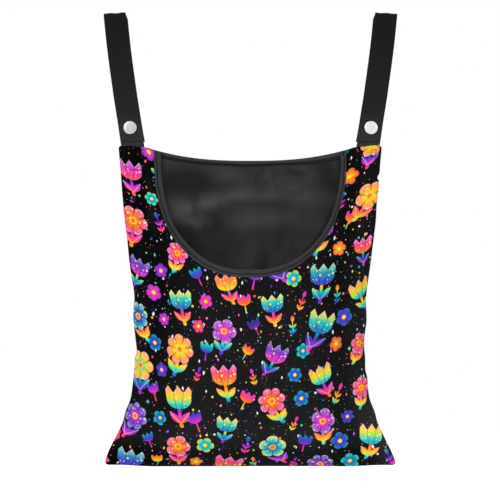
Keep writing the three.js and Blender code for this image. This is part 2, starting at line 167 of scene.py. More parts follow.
def ease(low, high, value):
    """0 up to low, 1 from high, and smooth between them."""
    t = np.clip((value - low) / (high - low), 0, 1)
    return t * t * (3 - 2 * t)


def lerp(a, b, t):
    return a + (b - a) * t


def rounding(radius, into):
    """How far a round corner lies inside a sharp one, by the share of the way into it."""
    return radius * (1 - np.sqrt(1 - into**2))


def rolled(distance, radius):
    """0 at an edge and 1 from a distance off it, with a quarter circle between."""
    return np.sqrt(np.clip(1 - (1 - np.clip(distance / radius, 0, 1)) ** 2, 0, 1))


def run_of(steps):
    """How far along each point lies, from the steps between neighbours on the last axis."""
    return np.concatenate([np.zeros((*steps.shape[:-1], 1)), np.cumsum(steps, axis=-1)], axis=-1)


def in_scene(name, data):
    """A new object for some data, in the scene."""
    obj = bpy.data.objects.new(name, data)
    bpy.context.scene.collection.objects.link(obj)
    return obj


# Places on the bag

def height_of(z):
    return (z - BOTTOM_Z) / BAG_HEIGHT


def z_of(height):
    return BOTTOM_Z + height * BAG_HEIGHT


def hand_of(x):
    return np.where(x < 0, -1, 1)


def reach(height, hand):
    """Half-width of the bag at a height, on the side that hand gives."""
    low = WAIST_HALF + (BOTTOM_HALF - WAIST_HALF) * flare(height)
    high = WAIST_HALF + (SHOULDER_HALF - WAIST_HALF) * spread(height)
    wander = np.where(hand < 0, edge_wander[-1](height), edge_wander[1](height)) * MM
    into_corner = np.clip(1 - height * BAG_HEIGHT / CORNER_RADIUS, 0, 1)
    return np.where(height < WAIST_SHARE, low, high) + wander - rounding(CORNER_RADIUS, into_corner)


def located(x, z):
    """A spot's height from 0 to 1, the bag's half-width there and its place across from -1 to 1."""
    height = np.clip(height_of(z), 0, 1)
    width = reach(height, hand_of(x))
    return height, width, np.clip(x / width, -1, 1)


def top_drop(x):
    """How far the top edge hangs below the shoulders at x."""
    return DIP * np.maximum(0, 1 - np.abs(x / DIP_HALF) ** DIP_FLATNESS)


def top_edge(x):
    return SHOULDER_Z - top_drop(x)


# Folds in the cloth

def ridge(x, z, x0, z0, x1, z1, width, rise):
    """A soft fold along a line, dying out towards both ends."""
    length = math.hypot(x1 - x0, z1 - z0)
    along = ((x - x0) * (x1 - x0) + (z - z0) * (z1 - z0)) / length**2
    beside = ((x - x0) * (z1 - z0) - (z - z0) * (x1 - x0)) / length
    swell = np.clip(along * (1 - along) * 4, 0, 1)
    return rise * np.exp(-((beside / width) ** 2)) * swell


# Folds given one by one, in millimetres: the x and z where each starts, those where it ends, its half-width
# and how far it stands out
CLOTH_FOLDS = {
    FRONT: [
        (-135, -160, -118, -300, 9, 2.2), (-122, -160, -108, -262, 6, -1.6),
        (134, -160, 116, -290, 9, 2.0), (120, -165, 110, -255, 6, -1.5),
        (-118, -250, -120, -420, 11, 2.4), (-100, -290, -106, -440, 9, -1.8),
        (118, -260, 122, -410, 11, 2.3), (101, -300, 108, -445, 9, -1.7), (-150, -486, -96, -400, 8, 2.6),
        (-128, -492, -84, -420, 7, -1.8), (151, -486, 98, -396, 8, 2.6), (130, -492, 88, -424, 7, -1.9),
        (-60, -496, -48, -430, 8, 1.5), (10, -497, 4, -440, 8, 1.4), (72, -496, 60, -428, 8, 1.6),
        (-30, -290, -58, -360, 12, 0.9), (40, -292, 66, -372, 12, 0.9),
    ],
    BACK: [
        (-128, -158, -104, -330, 12, 3.0), (-108, -165, -84, -300, 9, -2.2),
        (126, -158, 108, -310, 12, 3.0), (106, -168, 88, -320, 9, -2.2),
        (-112, -280, -116, -440, 12, 2.6), (112, -290, 118, -430, 12, 2.5),
        (-150, -486, -92, -395, 9, 2.6), (150, -486, 94, -400, 9, 2.7), (-70, -497, -52, -420, 9, 1.8),
        (-6, -497, 2, -430, 9, 1.6), (62, -497, 50, -424, 9, 1.7), (-60, -176, -30, -300, 12, 1.6),
        (58, -176, 26, -290, 12, 1.7),
    ],
}
LINING_FOLDS = {
    FRONT: [
        (-80, -320, -60, -430, 12, 2.0), (0, -310, -6, -430, 13, 1.8), (74, -320, 56, -430, 12, 2.0),
    ],
    BACK: [
        (-104, -162, -64, -166, 4, 1.4), (-118, -192, -36, -182, 14, -6.4), (-98, -222, 4, -200, 9, 4.2),
        (-48, -164, 14, -167, 5, 2.6), (-66, -212, -54, -262, 8, 2.2), (-46, -218, -36, -252, 7, -1.6),
        (26, -186, 60, -198, 6, 2.4), (72, -158, 112, -214, 13, -6.0), (36, -172, 66, -182, 5, -2.6),
        (34, -204, 88, -214, 10, 2.2), (16, -164, 29, -200, 3.2, 2.6), (27, -165, 10, -192, 2.8, 2.0),
        (6, -166, 15, -182, 2.4, 1.2), (-34, -176, 4, -180, 7, 2.0), (-100, -216, -22, -221, 12, 3.8),
        (-24, -202, 58, -206, 9, 4.8), (-40, -240, 60, -228, 11, 3.0), (80, -216, 72, -268, 10, 2.0),
        (-60, -195, -57, -234, 7, -4.8), (-98, -228, -38, -240, 9, 4.4), (-4, -178, 78, -184, 11, -1.8),
        (-70, -194, -2, -192, 7, -2.4), (-84, -262, -36, -330, 12, 2.6), (10, -250, -10, -340, 13, 2.4),
        (60, -250, 44, -350, 12, 2.6),
    ],
}
SHOULDER_CALM = {FRONT: 0.02, BACK: 0.012}  # how far below the top edge the folds are all there
PUCKER = 0.0008  # how far the small gathers along the seams stand out
HEM_RISE, HEM_GROOVE_DEPTH = 0.0009, 0.0006  # of the turned-in edges of the shoulders


def folds_by_hand(table, x, z):
    return sum(ridge(x, z, *(np.array(fold) * MM)) for fold in table)


def puckers(x, z, from_side, from_bottom, phase):
    """Small gathers where the cloth is drawn in along the side seams and the bottom seam."""
    wave_z = np.sin(z / 0.0021 + 2.1 * np.sin(z / 0.013 + phase) + hand_of(x) * 1.3)
    wave_x = np.sin(x / 0.0024 + 1.8 * np.sin(x / 0.017 + phase))
    beside = np.exp(-from_side / 0.008) * ease(0, 0.004, from_side) * wave_z
    above = np.exp(-from_bottom / 0.009) * ease(0, 0.004, from_bottom) * wave_x
    return PUCKER * (beside + above)


def shoulder_hem(x, from_side, from_top):
    """The turned-in edges of a shoulder stand up a little beside the seam and along the top."""
    upper = 1 - ease(0.014, 0.034, from_top)
    beside = (1 - ease(0.0046, 0.0058, from_side)) * upper
    along = (1 - ease(0.0034, 0.0046, from_top)) * ease(DIP_HALF, DIP_HALF + 0.003, np.abs(x))
    groove = ease(0.0046, 0.006, from_side) * (1 - ease(0.006, 0.009, from_side)) * upper
    return HEM_RISE * np.maximum(beside, along) - HEM_GROOVE_DEPTH * groove


def sample(grid, height, across):
    """Bicubic look-up of a table over height (rows) and across (columns)."""
    heights, acrosses, table = grid
    rows = np.clip((height - heights[0]) / (heights[1] - heights[0]), 0, len(heights) - 1.000001)
    columns = np.clip((across - acrosses[0]) / (acrosses[1] - acrosses[0]), 0, len(acrosses) - 1.000001)
    row, column = rows.astype(int), columns.astype(int)

    def weights(t):
        return [
            -0.5 * t**3 + t**2 - 0.5 * t,
            1.5 * t**3 - 2.5 * t**2 + 1,
            -1.5 * t**3 + 2 * t**2 + 0.5 * t,
            0.5 * t**3 - 0.5 * t**2,
        ]

    total = 0
    for i, weight_row in enumerate(weights(rows - row)):
        r = np.clip(row + i - 1, 0, len(heights) - 1)
        for j, weight_column in enumerate(weights(columns - column)):
            c = np.clip(column + j - 1, 0, len(acrosses) - 1)
            total = total + weight_row * weight_column * table[r, c]
    return total


simulated = {}  # side: (heights, acrosses, how far the simulated cloth stands out), once it has run


def folds(side, x, z):
    """How far the cloth stands out of the bag's even shape."""
    height, width, across = located(x, z)
    from_side, from_bottom, from_top = (1 - np.abs(across)) * width, height * BAG_HEIGHT, SHOULDER_Z - z
    calm = ease(0, SHOULDER_CALM[side], from_top)
    fade = ease(0, 0.022, from_side) * ease(0, 0.02, from_bottom) * calm
    total = folds_by_hand(CLOTH_FOLDS[side], x, z) * fade
    if side in simulated:
        total = total + sample(simulated[side], height, across) * fade
    total = total + puckers(x, z, from_side, from_bottom, side * 0.9) * calm
    return total + shoulder_hem(x, width - np.abs(x), from_top)


# The shape of the cloth

def near(distance):
    return 1 - (1 - np.clip(distance / SEAM_RAMP, 0, 1)) ** 2


def belly_shape(across, height):
    """The belly's depth across the bag: round at the waist, narrower with flat edges at the shoulders."""
    flatten = ease(1 - MOUTH_DEPTH / BAG_HEIGHT, 1, height)
    edge = lerp(1, MOUTH_HALF / SHOULDER_HALF, flatten)
    return np.maximum(0, 1 - (across / edge) ** 2) ** (1 + flatten / 2)


def base_bulge(side, x, z):
    """How far the cloth's inner face lies from the seam plane, before it folds."""
    height, width, across = located(x, z)
    closing = near((1 - np.abs(across)) * width) * near(height * BAG_HEIGHT)
    return DEPTH[side] * profile[side](height) * belly_shape(across, height) + SANDWICH * closing


def bulge(side, x, z):
    return base_bulge(side, x, z) + folds(side, x, z)


def slant(side, x, z):
    """How much longer a step through the cloth is along Y than square to the cloth."""
    here = bulge(side, x, z)
    slope_x = (here - bulge(side, x - np.sign(x) * GAP, z)) / GAP
    slope_z = (here - bulge(side, x, z + GAP * np.sign(z_of(WAIST_SHARE) - z))) / GAP
    return np.sqrt(1 + slope_x**2 + slope_z**2)


def sway(x, z):
    """How far both sides together hang out of the flat seam plane: the bottom corners turn a little."""
    height, _, across = located(x, z)
    corners = np.abs(across) ** 3 * (1 - height) ** 3 * (1 + 0.4 * across)
    bottom = (1 - height) ** 6 * np.sin(x / 0.045 + 0.6)
    edges = across**4 * np.sin(z / 0.031 + across * 2) * height * (1 - height) * 4
    return CORNER_SWAY * corners + BOTTOM_SWAY * bottom + EDGE_SWAY * edges


def drawn_down(side, x, z, width, height):
    """How far the cloth is drawn down at a spot: where the front slopes from the shoulder to the mouth, and
    in the middle of the bottom. The shoulders' outer corners are drawn up a little, and are round."""
    out = np.abs(x)
    near_top = (1 - np.clip((SHOULDER_Z - z) / DIP_REACH, 0, 1)) ** 2
    slope = top_drop(x) if side == FRONT else 0
    lift = TAPE_END_LIFT * ease(*TAPE_END_RISE, out)
    lift = lift + np.where(x < 0, *CORNER_LIFTS) * ease(*CORNER_RISE, out)
    corner = rounding(TOP_CORNER, np.clip((out - width) / TOP_CORNER + 1, 0, 1))
    sag = BOTTOM_SAG * (1 - ease(*BOTTOM_RISE, out)) * (1 - height) ** 4
    return (slope - lift + corner) * near_top + sag


def cloth_points(side, x, z, level, edge=CLOTH, top=OUTER_TOP, inset=0):
    """Points of the bag at x, z. The level is measured square to the cloth from its inner face, and is more
    than 0 towards the inside. The cloth rolls over to the seam line at its sides and bottom, or to an inset
    from it, and to the strap at the top of the shoulders. edge and top are how far from the seam plane it
    ends there, and with no top it doesn't roll over at the shoulders."""
    height, width, across = located(x, z)
    from_seam = np.minimum((1 - np.abs(across)) * width, height * BAG_HEIGHT) - inset
    away = GAP / 2 + bulge(side, x, z) - level * slant(side, x, z)
    away = lerp(np.minimum(edge, away), away, rolled(from_seam, SEAM_ROLL))
    if top is not None:
        on_shoulder = ease(DIP_HALF - 0.004, DIP_HALF + 0.002, np.abs(x)) if side == BACK else 1
        turned_over = lerp(np.minimum(top, away), away, rolled(SHOULDER_Z - z, TOP_ROLL))
        away = lerp(away, turned_over, on_shoulder)
    return np.stack([x, side * away + sway(x, z), z - drawn_down(side, x, z, width, height)], -1)


# The cloth simulation: both sides, sewn together, settle on what fills the bag

SETTLE_ROWS, SETTLE_COLUMNS = 59, 51
SETTLE_FRAMES = 36
SETTLE_SEED = 20
UNEVEN = 0.0004  # how far the points start off their places
SPARE_WIDTH = 0.035  # how much wider the cloth is cut than the full bag needs
CUT_HEIGHT = 0.362
RIM_HOLD = 0.3  # how firmly the points next to a free edge are held
MOST_FOLD = 0.0045  # the cap on how far a simulated fold stands out
BROAD_SHARE = 0.85  # how much of the broad swelling is taken out again
CALM_MIDDLE = 0.45  # share of the folds left in the middle of the front, which the contents push smooth
CALM_BACK = 0.8
CLOTH_SETTINGS = {
    "quality": 8, "mass": 0.25, "air_damping": 2.0,
    "tension_stiffness": 30, "compression_stiffness": 30, "shear_stiffness": 6, "bending_stiffness": 0.35,
    "tension_damping": 8, "compression_damping": 8, "shear_damping": 8, "bending_damping": 1,
    "use_pressure": True, "uniform_pressure_force": 2.5,
}


def smoothed(table, passes):
    """A table eased over its neighbours."""
    for _ in range(passes):
        wide = np.pad(table, 1, mode="edge")
        table = (wide[:-2, 1:-1] + wide[2:, 1:-1] + wide[1:-1, :-2] + wide[1:-1, 2:] + 4 * table) / 8
    return table


def filled_in(table, known, passes=30):
    """A table with its unknown places filled from their neighbours."""
    total, weight = np.where(known, table, 0), known.astype(float)
    for _ in range(passes):
        total, weight = smoothed(total, 1), smoothed(weight, 1)
        filled = total / np.maximum(weight, 1e-9)
        total, weight = np.where(known, table, total), np.where(known, 1, weight)
    return np.where(known, table, filled)


def in_opening(side, x, z):
    """Where a side has no cloth: in the mouth, and above the top edge of the back."""
    if side == BACK:
        return z > top_edge(x)
    out, down = np.abs(x) / MOUTH_HALF, (SHOULDER_Z - z) / MOUTH_DEPTH
    return out**MOUTH_SQUARENESS + down**MOUTH_SQUARENESS < 1


def run_cloth(points, cut, pinned, faces):
    """Runs Blender's Cloth on the sewn mesh and gives where its points end. points is where they hang, and
    cut where they lie on the flat cut."""
    mesh = bpy.data.meshes.new("settling_cloth")
    mesh.from_pydata(points.tolist(), [], faces)
    obj = in_scene("settling_cloth", mesh)
    obj.shape_key_add(name="hung")
    flat = obj.shape_key_add(name="cut")
    flat.data.foreach_set("co", cut.astype(np.float32).ravel())
    pins = obj.vertex_groups.new(name="pins")
    for i, weight in enumerate(pinned):
        if weight > 0:
            pins.add([i], float(weight), "REPLACE")
    cloth = obj.modifiers.new("settling", "CLOTH")
    for label, value in CLOTH_SETTINGS.items():
        setattr(cloth.settings, label, value)
    cloth.settings.vertex_group_mass = "pins"
    cloth.settings.rest_shape_key = flat
    cloth.collision_settings.use_collision = False
    cloth.collision_settings.use_self_collision = False
    cloth.point_cache.frame_end = SETTLE_FRAMES
    scene = bpy.context.scene
    for shot in range(1, SETTLE_FRAMES + 1):
        scene.frame_set(shot)
    evaluated = obj.evaluated_get(bpy.context.evaluated_depsgraph_get())
    moved = np.zeros(len(points) * 3, np.float32)
    evaluated.data.vertices.foreach_get("co", moved)
    scene.frame_set(1)
    bpy.data.objects.remove(obj)
    return moved.reshape(-1, 3)


def settle_cloth():
    """Simulates the sewn cloth. Gives for each side how far its folds stand out, as a table for sample."""
    heights, acrosses = np.linspace(0, 1, SETTLE_ROWS), np.linspace(-1, 1, SETTLE_COLUMNS)
    height, across = np.meshgrid(heights, acrosses, indexing="ij")
    x, z = across * reach(height, across), z_of(height)
    on_seam = (np.abs(across) == 1) | (height == 0)
    count = height.size
    first = np.arange(count).reshape(height.shape)
    index = {FRONT: first, BACK: np.where(on_seam, first, first + count)}
    uneven = np.random.default_rng(SETTLE_SEED).normal(0, UNEVEN, (2, *height.shape))
    points, cut, pinned = np.zeros((2 * count, 3)), np.zeros((2 * count, 3)), np.zeros(2 * count)
    faces = []
    for layer, side in enumerate((FRONT, BACK)):
        i = index[side]
        away = GAP / 2 + base_bulge(side, x, z)
        y = side * (away + folds_by_hand(CLOTH_FOLDS[side], x, z) * 0.5 + uneven[layer])
        points[i] = np.stack([x, np.where(on_seam, 0, y), z], -1)
        girth = run_of(np.hypot(np.diff(x, axis=1), np.diff(side * away, axis=1)))
        spare = 1 + SPARE_WIDTH * ease(0.02, 0.2, height) * (1 - 0.5 * ease(0.7, 1, height))
        cut[i] = np.stack([(girth - girth[:, -1:] / 2) * spare, np.zeros_like(x), height * CUT_HEIGHT], -1)
        gone = in_opening(side, x, z)
        rim = gone | (height == 1)
        pinned[i] = np.where(rim | on_seam, 1, smoothed(rim.astype(float), 2) * RIM_HOLD)
        empty = gone[:-1, :-1] & gone[:-1, 1:] & gone[1:, 1:] & gone[1:, :-1]
        quads = np.stack([i[:-1, :-1], i[:-1, 1:], i[1:, 1:], i[1:, :-1]], -1)[~empty]
        faces += (quads if side == FRONT else quads[:, ::-1]).tolist()
    used = np.unique(np.array(faces))
    renumber = np.full(2 * count, -1)
    renumber[used] = np.arange(len(used))
    moved = run_cloth(points[used], cut[used], pinned[used], renumber[np.array(faces)].tolist())
    tables = {}
    for side in (FRONT, BACK):
        place = renumber[index[side]]
        out = side * moved[np.maximum(place, 0), 1] - (GAP / 2 + base_bulge(side, x, z))
        out = filled_in(np.where(on_seam, 0, out), place >= 0)
        fine = smoothed(out - BROAD_SHARE * smoothed(out, 60), 1)
        kept = CALM_MIDDLE + (1 - CALM_MIDDLE) * np.abs(across) ** 1.5 if side == FRONT else CALM_BACK
        tables[side] = (heights, acrosses, MOST_FOLD * np.tanh(fine * kept / MOST_FOLD))
    return tables


simulated.update(settle_cloth())


# Where the front's columns and rows run: columns down the right side, along the bottom and up the left

SIDE_COLUMNS = 17
BOTTOM_COLUMNS = 14
COLUMNS = 2 * SIDE_COLUMNS + BOTTOM_COLUMNS
TAPE_ROW = 0.0079  # the row along the tape's edge, from the mouth's edge

# How far the mouth's edge lies outside the even curve, in millimetres, and what share of its width its
# tape has, by the column
mouth_widening = smooth_through(
    [[0, 1.0], [0.8, 2.6], [2.3, 3.3], [4.5, 3.5], [7, 3.2], [10.3, 2.6], [13, 1.4], [18, 0], [33, 0],
     [36.2, 0.5], [38, 1.5], [41.2, 1.6], [43.8, 1.4], [46, 0.9], [48, 0.6]]
)
tape_share = smooth_through(
    [[0, 0.78], [5, 0.74], [11, 0.74], [17, 0.98], [24, 1.06], [36, 1.02], [48, 1.0]]
)


def near_mouth(column, into):
    """The x and z of a column at a distance into the cloth from the mouth's edge."""
    angle = np.pi * column / COLUMNS
    into = into + mouth_widening(column) * MM
    cos, sin = np.cos(angle), np.sin(angle)
    share_x = np.sign(cos) * np.abs(cos) ** (2 / MOUTH_SQUARENESS)
    share_z = np.abs(sin) ** (2 / MOUTH_SQUARENESS)
    out_x = np.sign(share_x) * np.abs(share_x) ** (MOUTH_SQUARENESS - 1) / MOUTH_HALF
    out_z = -(share_z ** (MOUTH_SQUARENESS - 1)) / MOUTH_DEPTH
    length = np.hypot(out_x, out_z)
    x = MOUTH_HALF * share_x + out_x / length * into
    return x, SHOULDER_Z - MOUTH_DEPTH * share_z + out_z / length * into


def near_seam(column, inset):
    """The x and z of a column at an inset from the seams."""
    low = inset / BAG_HEIGHT
    from_end = np.minimum(column, COLUMNS - column)
    on_side = from_end < SIDE_COLUMNS
    hand = np.where(column > COLUMNS / 2, -1, 1)
    height = np.where(on_side, lerp(1, low, from_end / SIDE_COLUMNS), low)
    from_middle = np.abs(COLUMNS / 2 - column) / (BOTTOM_COLUMNS / 2)
    return hand * (reach(height, hand) - inset) * np.where(on_side, 1, from_middle), z_of(height)


def front_spots(columns, rows, last_inset):
    """Spots of the front. Rows run from 0 at the mouth's edge through 1 at the tape's edge and 2 at the
    lining's inset to 3 at the last inset from the seam."""
    column, row = np.meshgrid(columns, rows)
    x0, z0 = near_mouth(column, TAPE_ROW * np.clip(row, 0, 1))
    x1, z1 = near_seam(column, LINING_INSET)
    h0, h1 = height_of(z0), height_of(z1)
    hand = np.where(column > COLUMNS / 2, -1, 1)
    share = np.clip(row - 1, 0, 1)
    height = lerp(h0, h1, share)
    across = lerp(x0 / reach(h0, hand), x1 / reach(h1, hand), share)
    x2, z2 = near_seam(column, lerp(LINING_INSET, last_inset, np.clip(row - 2, 0, 1)))
    x = np.where(row <= 1, x0, np.where(row <= 2, across * reach(height, hand), x2))
    return x, np.where(row <= 1, z0, np.where(row <= 2, z_of(height), z2))


def back_spots(places, rows, last_inset, below=0):
    """Spots of the back. Places run from -1 to 1 across it, and rows from 0 at its top edge, or a little
    below it, to 1 at the last inset from the bottom seam."""
    place, row = np.meshgrid(places, rows)
    z = lerp(top_edge(place * SHOULDER_HALF) - below, BOTTOM_Z + last_inset, row)
    return place * (reach(height_of(z), place) - last_inset), z


PLAN_ROWS, PLAN_COLUMNS = 80, 60
BACK_CUT = (0.163, 0.437)  # where on the printed cloth the back is cut, from where the front is


def cloth_plan(side, x, z):
    """Where each spot lies on the flat cut, by arc length across and up."""
    heights, acrosses = np.linspace(0, 1, PLAN_ROWS), np.linspace(0, 1, PLAN_COLUMNS)
    grid_across, grid_height = np.meshgrid(acrosses, heights)
    grid_z, middle_z = z_of(grid_height), z_of(heights)
    height, _, across = located(x, z)
    u = np.zeros_like(x)
    for hand in (-1, 1):
        grid_x = hand * grid_across * reach(grid_height, hand)
        girth = run_of(np.hypot(np.diff(grid_x, axis=1), np.diff(bulge(side, grid_x, grid_z), axis=1)))
        there = hand * sample((heights, acrosses, girth), height, np.abs(across))
        u = np.where(hand_of(x) == hand, there, u)
    rise = run_of(np.hypot(np.diff(middle_z), np.diff(bulge(side, np.zeros(PLAN_ROWS), middle_z))))
    v = lerp(np.interp(height, heights, rise), height * BAG_HEIGHT, across**2)
    return np.stack([u * -side, v], -1) + (BACK_CUT if side == BACK else 0)


# Meshes

def mesh_object(name, points, faces, uv=None, painted_light=None):
    """A mesh from points and quads or triangles, turned to face out. uv gives one place a point, and the
    last argument the painted sheen or painted shade of each point, which the piece's material reads."""
    points = np.asarray(points, float)
    fans = np.array([(face[0], face[i], face[i + 1]) for face in faces for i in range(1, len(face) - 1)])
    a, b, c = points[fans.T]
    if np.einsum("ij,ij", a, np.cross(b, c)) < 0:
        faces = [tuple(reversed(face)) for face in faces]
    mesh = bpy.data.meshes.new(name)
    mesh.from_pydata(points.tolist(), [], faces)
    mesh.update()
    mesh.shade_smooth()
    if painted_light is not None:
        # The painted sheen or painted shade of each point, for the piece's material.
        layer = mesh.attributes.new("painted_light", "FLOAT", "POINT")
        layer.data.foreach_set("value", np.asarray(painted_light, np.float32).ravel())
    if uv is not None:
        layer = mesh.uv_layers.new(name="cloth")
        corner = np.zeros(len(mesh.loops), int)
        mesh.loops.foreach_get("vertex_index", corner)
        layer.data.foreach_set("uv", np.asarray(uv, np.float32)[corner].ravel())
    return in_scene(name, mesh)


def shell(name, outer, inner, uv, painted_light):
    """A closed sheet between two grids of points, with the same place on the flat cut on both."""
    rows, columns = outer.shape[:2]
    count = rows * columns
    index = np.arange(count).reshape(rows, columns)
    a, b, c, d = index[:-1, :-1], index[:-1, 1:], index[1:, 1:], index[1:, :-1]
    faces = np.stack([a, b, c, d], -1).reshape(-1, 4).tolist()
    faces += (np.stack([a, d, c, b], -1).reshape(-1, 4) + count).tolist()
    rim = [int(i) for i in (*index[0, :-1], *index[:-1, -1], *index[-1, :0:-1], *index[:0:-1, 0])]
    faces += [[after, here, here + count, after + count] for here, after in zip(rim, rim[1:] + rim[:1])]
    points = np.concatenate([outer.reshape(-1, 3), inner.reshape(-1, 3)])
    uv, painted_light = np.tile(uv.reshape(-1, 2), (2, 1)), np.tile(painted_light.ravel(), 2)
    return mesh_object(name, points, faces, uv, painted_light)


def swept(name, rings, uv, painted_light=None):
    """A closed outline carried along: rings is sections x corners x 3."""
    sections, corners = rings.shape[:2]
    index = np.arange(sections * corners).reshape(sections, corners)
    turned = np.roll(index, -1, axis=1)
    faces = np.stack([index[:-1], turned[:-1], turned[1:], index[1:]], -1).reshape(-1, 4).tolist()
    points, places = rings.reshape(-1, 3), uv.reshape(-1, 2)
    for ring, order in ((0, -1), (sections - 1, 1)):
        middle = len(points)
        points = np.concatenate([points, rings[ring].mean(0)[None]])
        places = np.concatenate([places, uv[ring].mean(0)[None]])
        pairs = np.stack([index[ring], turned[ring]], -1)[:, ::order].tolist()
        faces += [[*pair, middle] for pair in pairs]
    if painted_light is not None:
        painted_light = np.concatenate([np.broadcast_to(painted_light, (sections, corners)).ravel(), [0, 0]])
    return mesh_object(name, points, faces, places, painted_light)


def stepped(*stretches):
    """Values through several stretches, each (from, to, how many steps, how much they crowd to its end)."""
    values = [stretches[0][0]]
    for start, end, steps, crowd in stretches:
        t = np.arange(1, steps + 1) / steps
        values += list(start + (end - start) * (1 - (1 - t) ** crowd))
    return np.array(values)


def between_seams(ends, inner, count):
    """Places from -1 to 1, even up to the inner one and crowded at both ends."""
    ends = np.array(ends)
    return np.concatenate([ends - 1, np.linspace(-inner, inner, count), 1 - ends[::-1]])


# The printed cloth

COLUMN_STEP = 0.15
first_columns = [0, 0.03, 0.07, 0.13, 0.21, 0.31, 0.43, 0.57, 0.73, 0.9]  # crowded at the mouth's corners
side_columns = [*first_columns, *np.arange(1.05, 16.9, COLUMN_STEP), 16.9, 16.95, 17]  # and at the bottom's
half_columns = np.array([*side_columns, *np.arange(SIDE_COLUMNS + COLUMN_STEP, COLUMNS / 2, COLUMN_STEP)])
front_columns = np.concatenate([half_columns, [COLUMNS / 2], COLUMNS - half_columns[::-1]])
front_rows = stepped((0, 1, 4, 1), (1, 2, 62, 1), (2, 3, 10, 1.8))
back_places = between_seams([0, 0.002, 0.005, 0.009, 0.014, 0.021], 0.97, 149)
first_rows = [0, 0.0015, 0.0035, 0.006, 0.009, 0.013]
last_rows = [0.98, 0.985, 0.989, 0.993, 0.996, 0.998, 1]
back_rows = np.array([*first_rows, *np.linspace(0.018, 0.975, 140), *last_rows])

# Painted sheen on the black of the print, by the height and by the place across.
sheen_up = smooth_through(
    [[0, 0.3], [0.045, 0.34], [0.09, 0.8], [0.16, 0.62], [0.42, 0.5], [0.57, 0.34], [0.8, 0.28], [1, 0.2]]
)
sheen_across = smooth_through(
    [[-1, -0.4], [-0.75, -0.27], [-0.45, 0], [0, 0.02], [0.5, 0.06], [0.74, -0.14], [0.88, 0.02], [1, 0.1]]
)
# A streak of painted sheen.
SHEEN_STREAK = (-0.116, -0.168, -0.106, -0.25, 0.006, 0.5)  # down the left side of the mouth
SHEEN_FOLDS = 50  # how much painted sheen a fold gets for each metre that it stands out


def painted_sheen(side, x, z):
    """How much painted sheen lightens the black of the print, which shows most on the folds and low down.
    """
    height, _, across = located(x, z)
    # More painted sheen at the lower right corner and on the folds.
    corner = 0.8 * ease(0.8, 1, across) * (1 - ease(0.04, 0.4, height))
    folded = folds_by_hand(CLOTH_FOLDS[side], x, z) * SHEEN_FOLDS + ridge(x, z, *SHEEN_STREAK)
    return np.clip(sheen_up(height) + sheen_across(across) + corner + folded, 0, 2)


def panel(name, side, spots, columns, rows):
    x, z = spots(columns, rows, 0)
    inner_x, inner_z = spots(columns, rows, EDGE_INSET)
    outer = cloth_points(side, x, z, -CLOTH)
    inner = cloth_points(side, inner_x, inner_z, 0, edge=INNER_EDGE, top=INNER_TOP, inset=EDGE_INSET)
    return shell(name, outer, inner, cloth_plan(side, x, z), painted_sheen(side, x, z))


front_panel = panel("front_panel_cloth", FRONT, front_spots, front_columns, front_rows)
back_panel = panel("back_panel_cloth", BACK, back_spots, back_places, back_rows)


# The lining, which hangs looser than the cloth

LINING_SLACK = 0.0042  # how far the middle of the lining hangs off the cloth
LINING_BELOW = 0.0004  # how far it starts below the top edge
# Painted shade: the lining is darker in its hollows and lighter on its ridges.
HOLLOW_DEPTH = 0.0085  # a hollow this much deeper than another is darker by 1


def lining(name, side, x, z, from_edge):
    """The lining at x, z. from_edge is 0 where it is sewn in and 1 where it hangs free."""
    relief = folds_by_hand(LINING_FOLDS[side], x, z)
    room = np.maximum(bulge(FRONT, x, z) + bulge(BACK, x, z) - 3 * SANDWICH, 0)
    slack = np.clip((relief + LINING_SLACK) * from_edge, 0, room * 0.35)
    outer = cloth_points(side, x, z, GAP + slack, edge=GAP, top=None, inset=LINING_EDGE)
    inner = cloth_points(side, x, z, LINING_DEPTH + slack, edge=-0.00004, top=None, inset=LINING_EDGE)
    # Painted shade in the hollows and painted light on the ridges.
    hollow = 0.5 - relief / HOLLOW_DEPTH
    if side == BACK:
        # Painted shadow: the sides of the mouth shade what lies behind them, so the lining there is darker.
        down = np.clip((SHOULDER_Z - z) / MOUTH_DEPTH, 0, 1)
        opening = MOUTH_HALF * (1 - down**MOUTH_SQUARENESS) ** (1 / MOUTH_SQUARENESS)
        hollow = hollow + np.where(x < 0, 0.15, 0.55) * ease(-0.0035, 0.0005, np.abs(x) - opening)
    return shell(name, outer, inner, cloth_plan(side, x, z), np.clip(hollow, -0.45, 1))


lining_columns = front_columns[(front_columns > 0.02) & (front_columns < COLUMNS - 0.02)][::2]
lining_columns = np.concatenate([[0.06], lining_columns[lining_columns > 0.1], [COLUMNS - 0.06]])
lining_rows = stepped((0, 1, 3, 1), (1, 2, 40, 1), (2, 3, 6, 1.8))
x, z = front_spots(lining_columns, lining_rows, LINING_EDGE)
share = np.clip(lining_rows - 1, 0, 1)[:, None]
from_edge = ease(0, 0.2, share) * ease(0, 0.1, 1 - share)
front_lining = lining("front_lining_cloth", FRONT, x, z, from_edge)

lining_places = between_seams([0, 0.002, 0.007, 0.015], 0.975, 131)
back_lining_rows = stepped((0, 0.03, 6, 1), (0.03, 0.985, 110, 1), (0.985, 1, 5, 1.8))
x, z = back_spots(lining_places, back_lining_rows, LINING_EDGE, LINING_BELOW)
from_edge = ease(0.008, 0.03, z[0] - z) * ease(0, 0.03, z - BOTTOM_Z)
from_edge = from_edge * ease(0, 0.1, 1 - np.abs(lining_places))
back_lining = lining("back_lining_cloth", BACK, x, z, from_edge)


# The bound edges: tape folded over the cloth, with a groove where it is sewn

BINDING_WIDTH, BINDING_GROOVE = 7.0, 3.9  # millimetres, as are the next two
HEM_WIDTH, HEM_GROOVE = 6.2, 4.3
HEM_HALF = DIP_HALF - 0.0006

hem_share = smooth_through(
    [[-0.116, 1.05], [-0.07, 0.9], [-0.025, 0.8], [0, 0.94], [0.03, 0.76], [0.055, 0.95], [0.08, 1.2],
     [0.116, 1.2]]
)
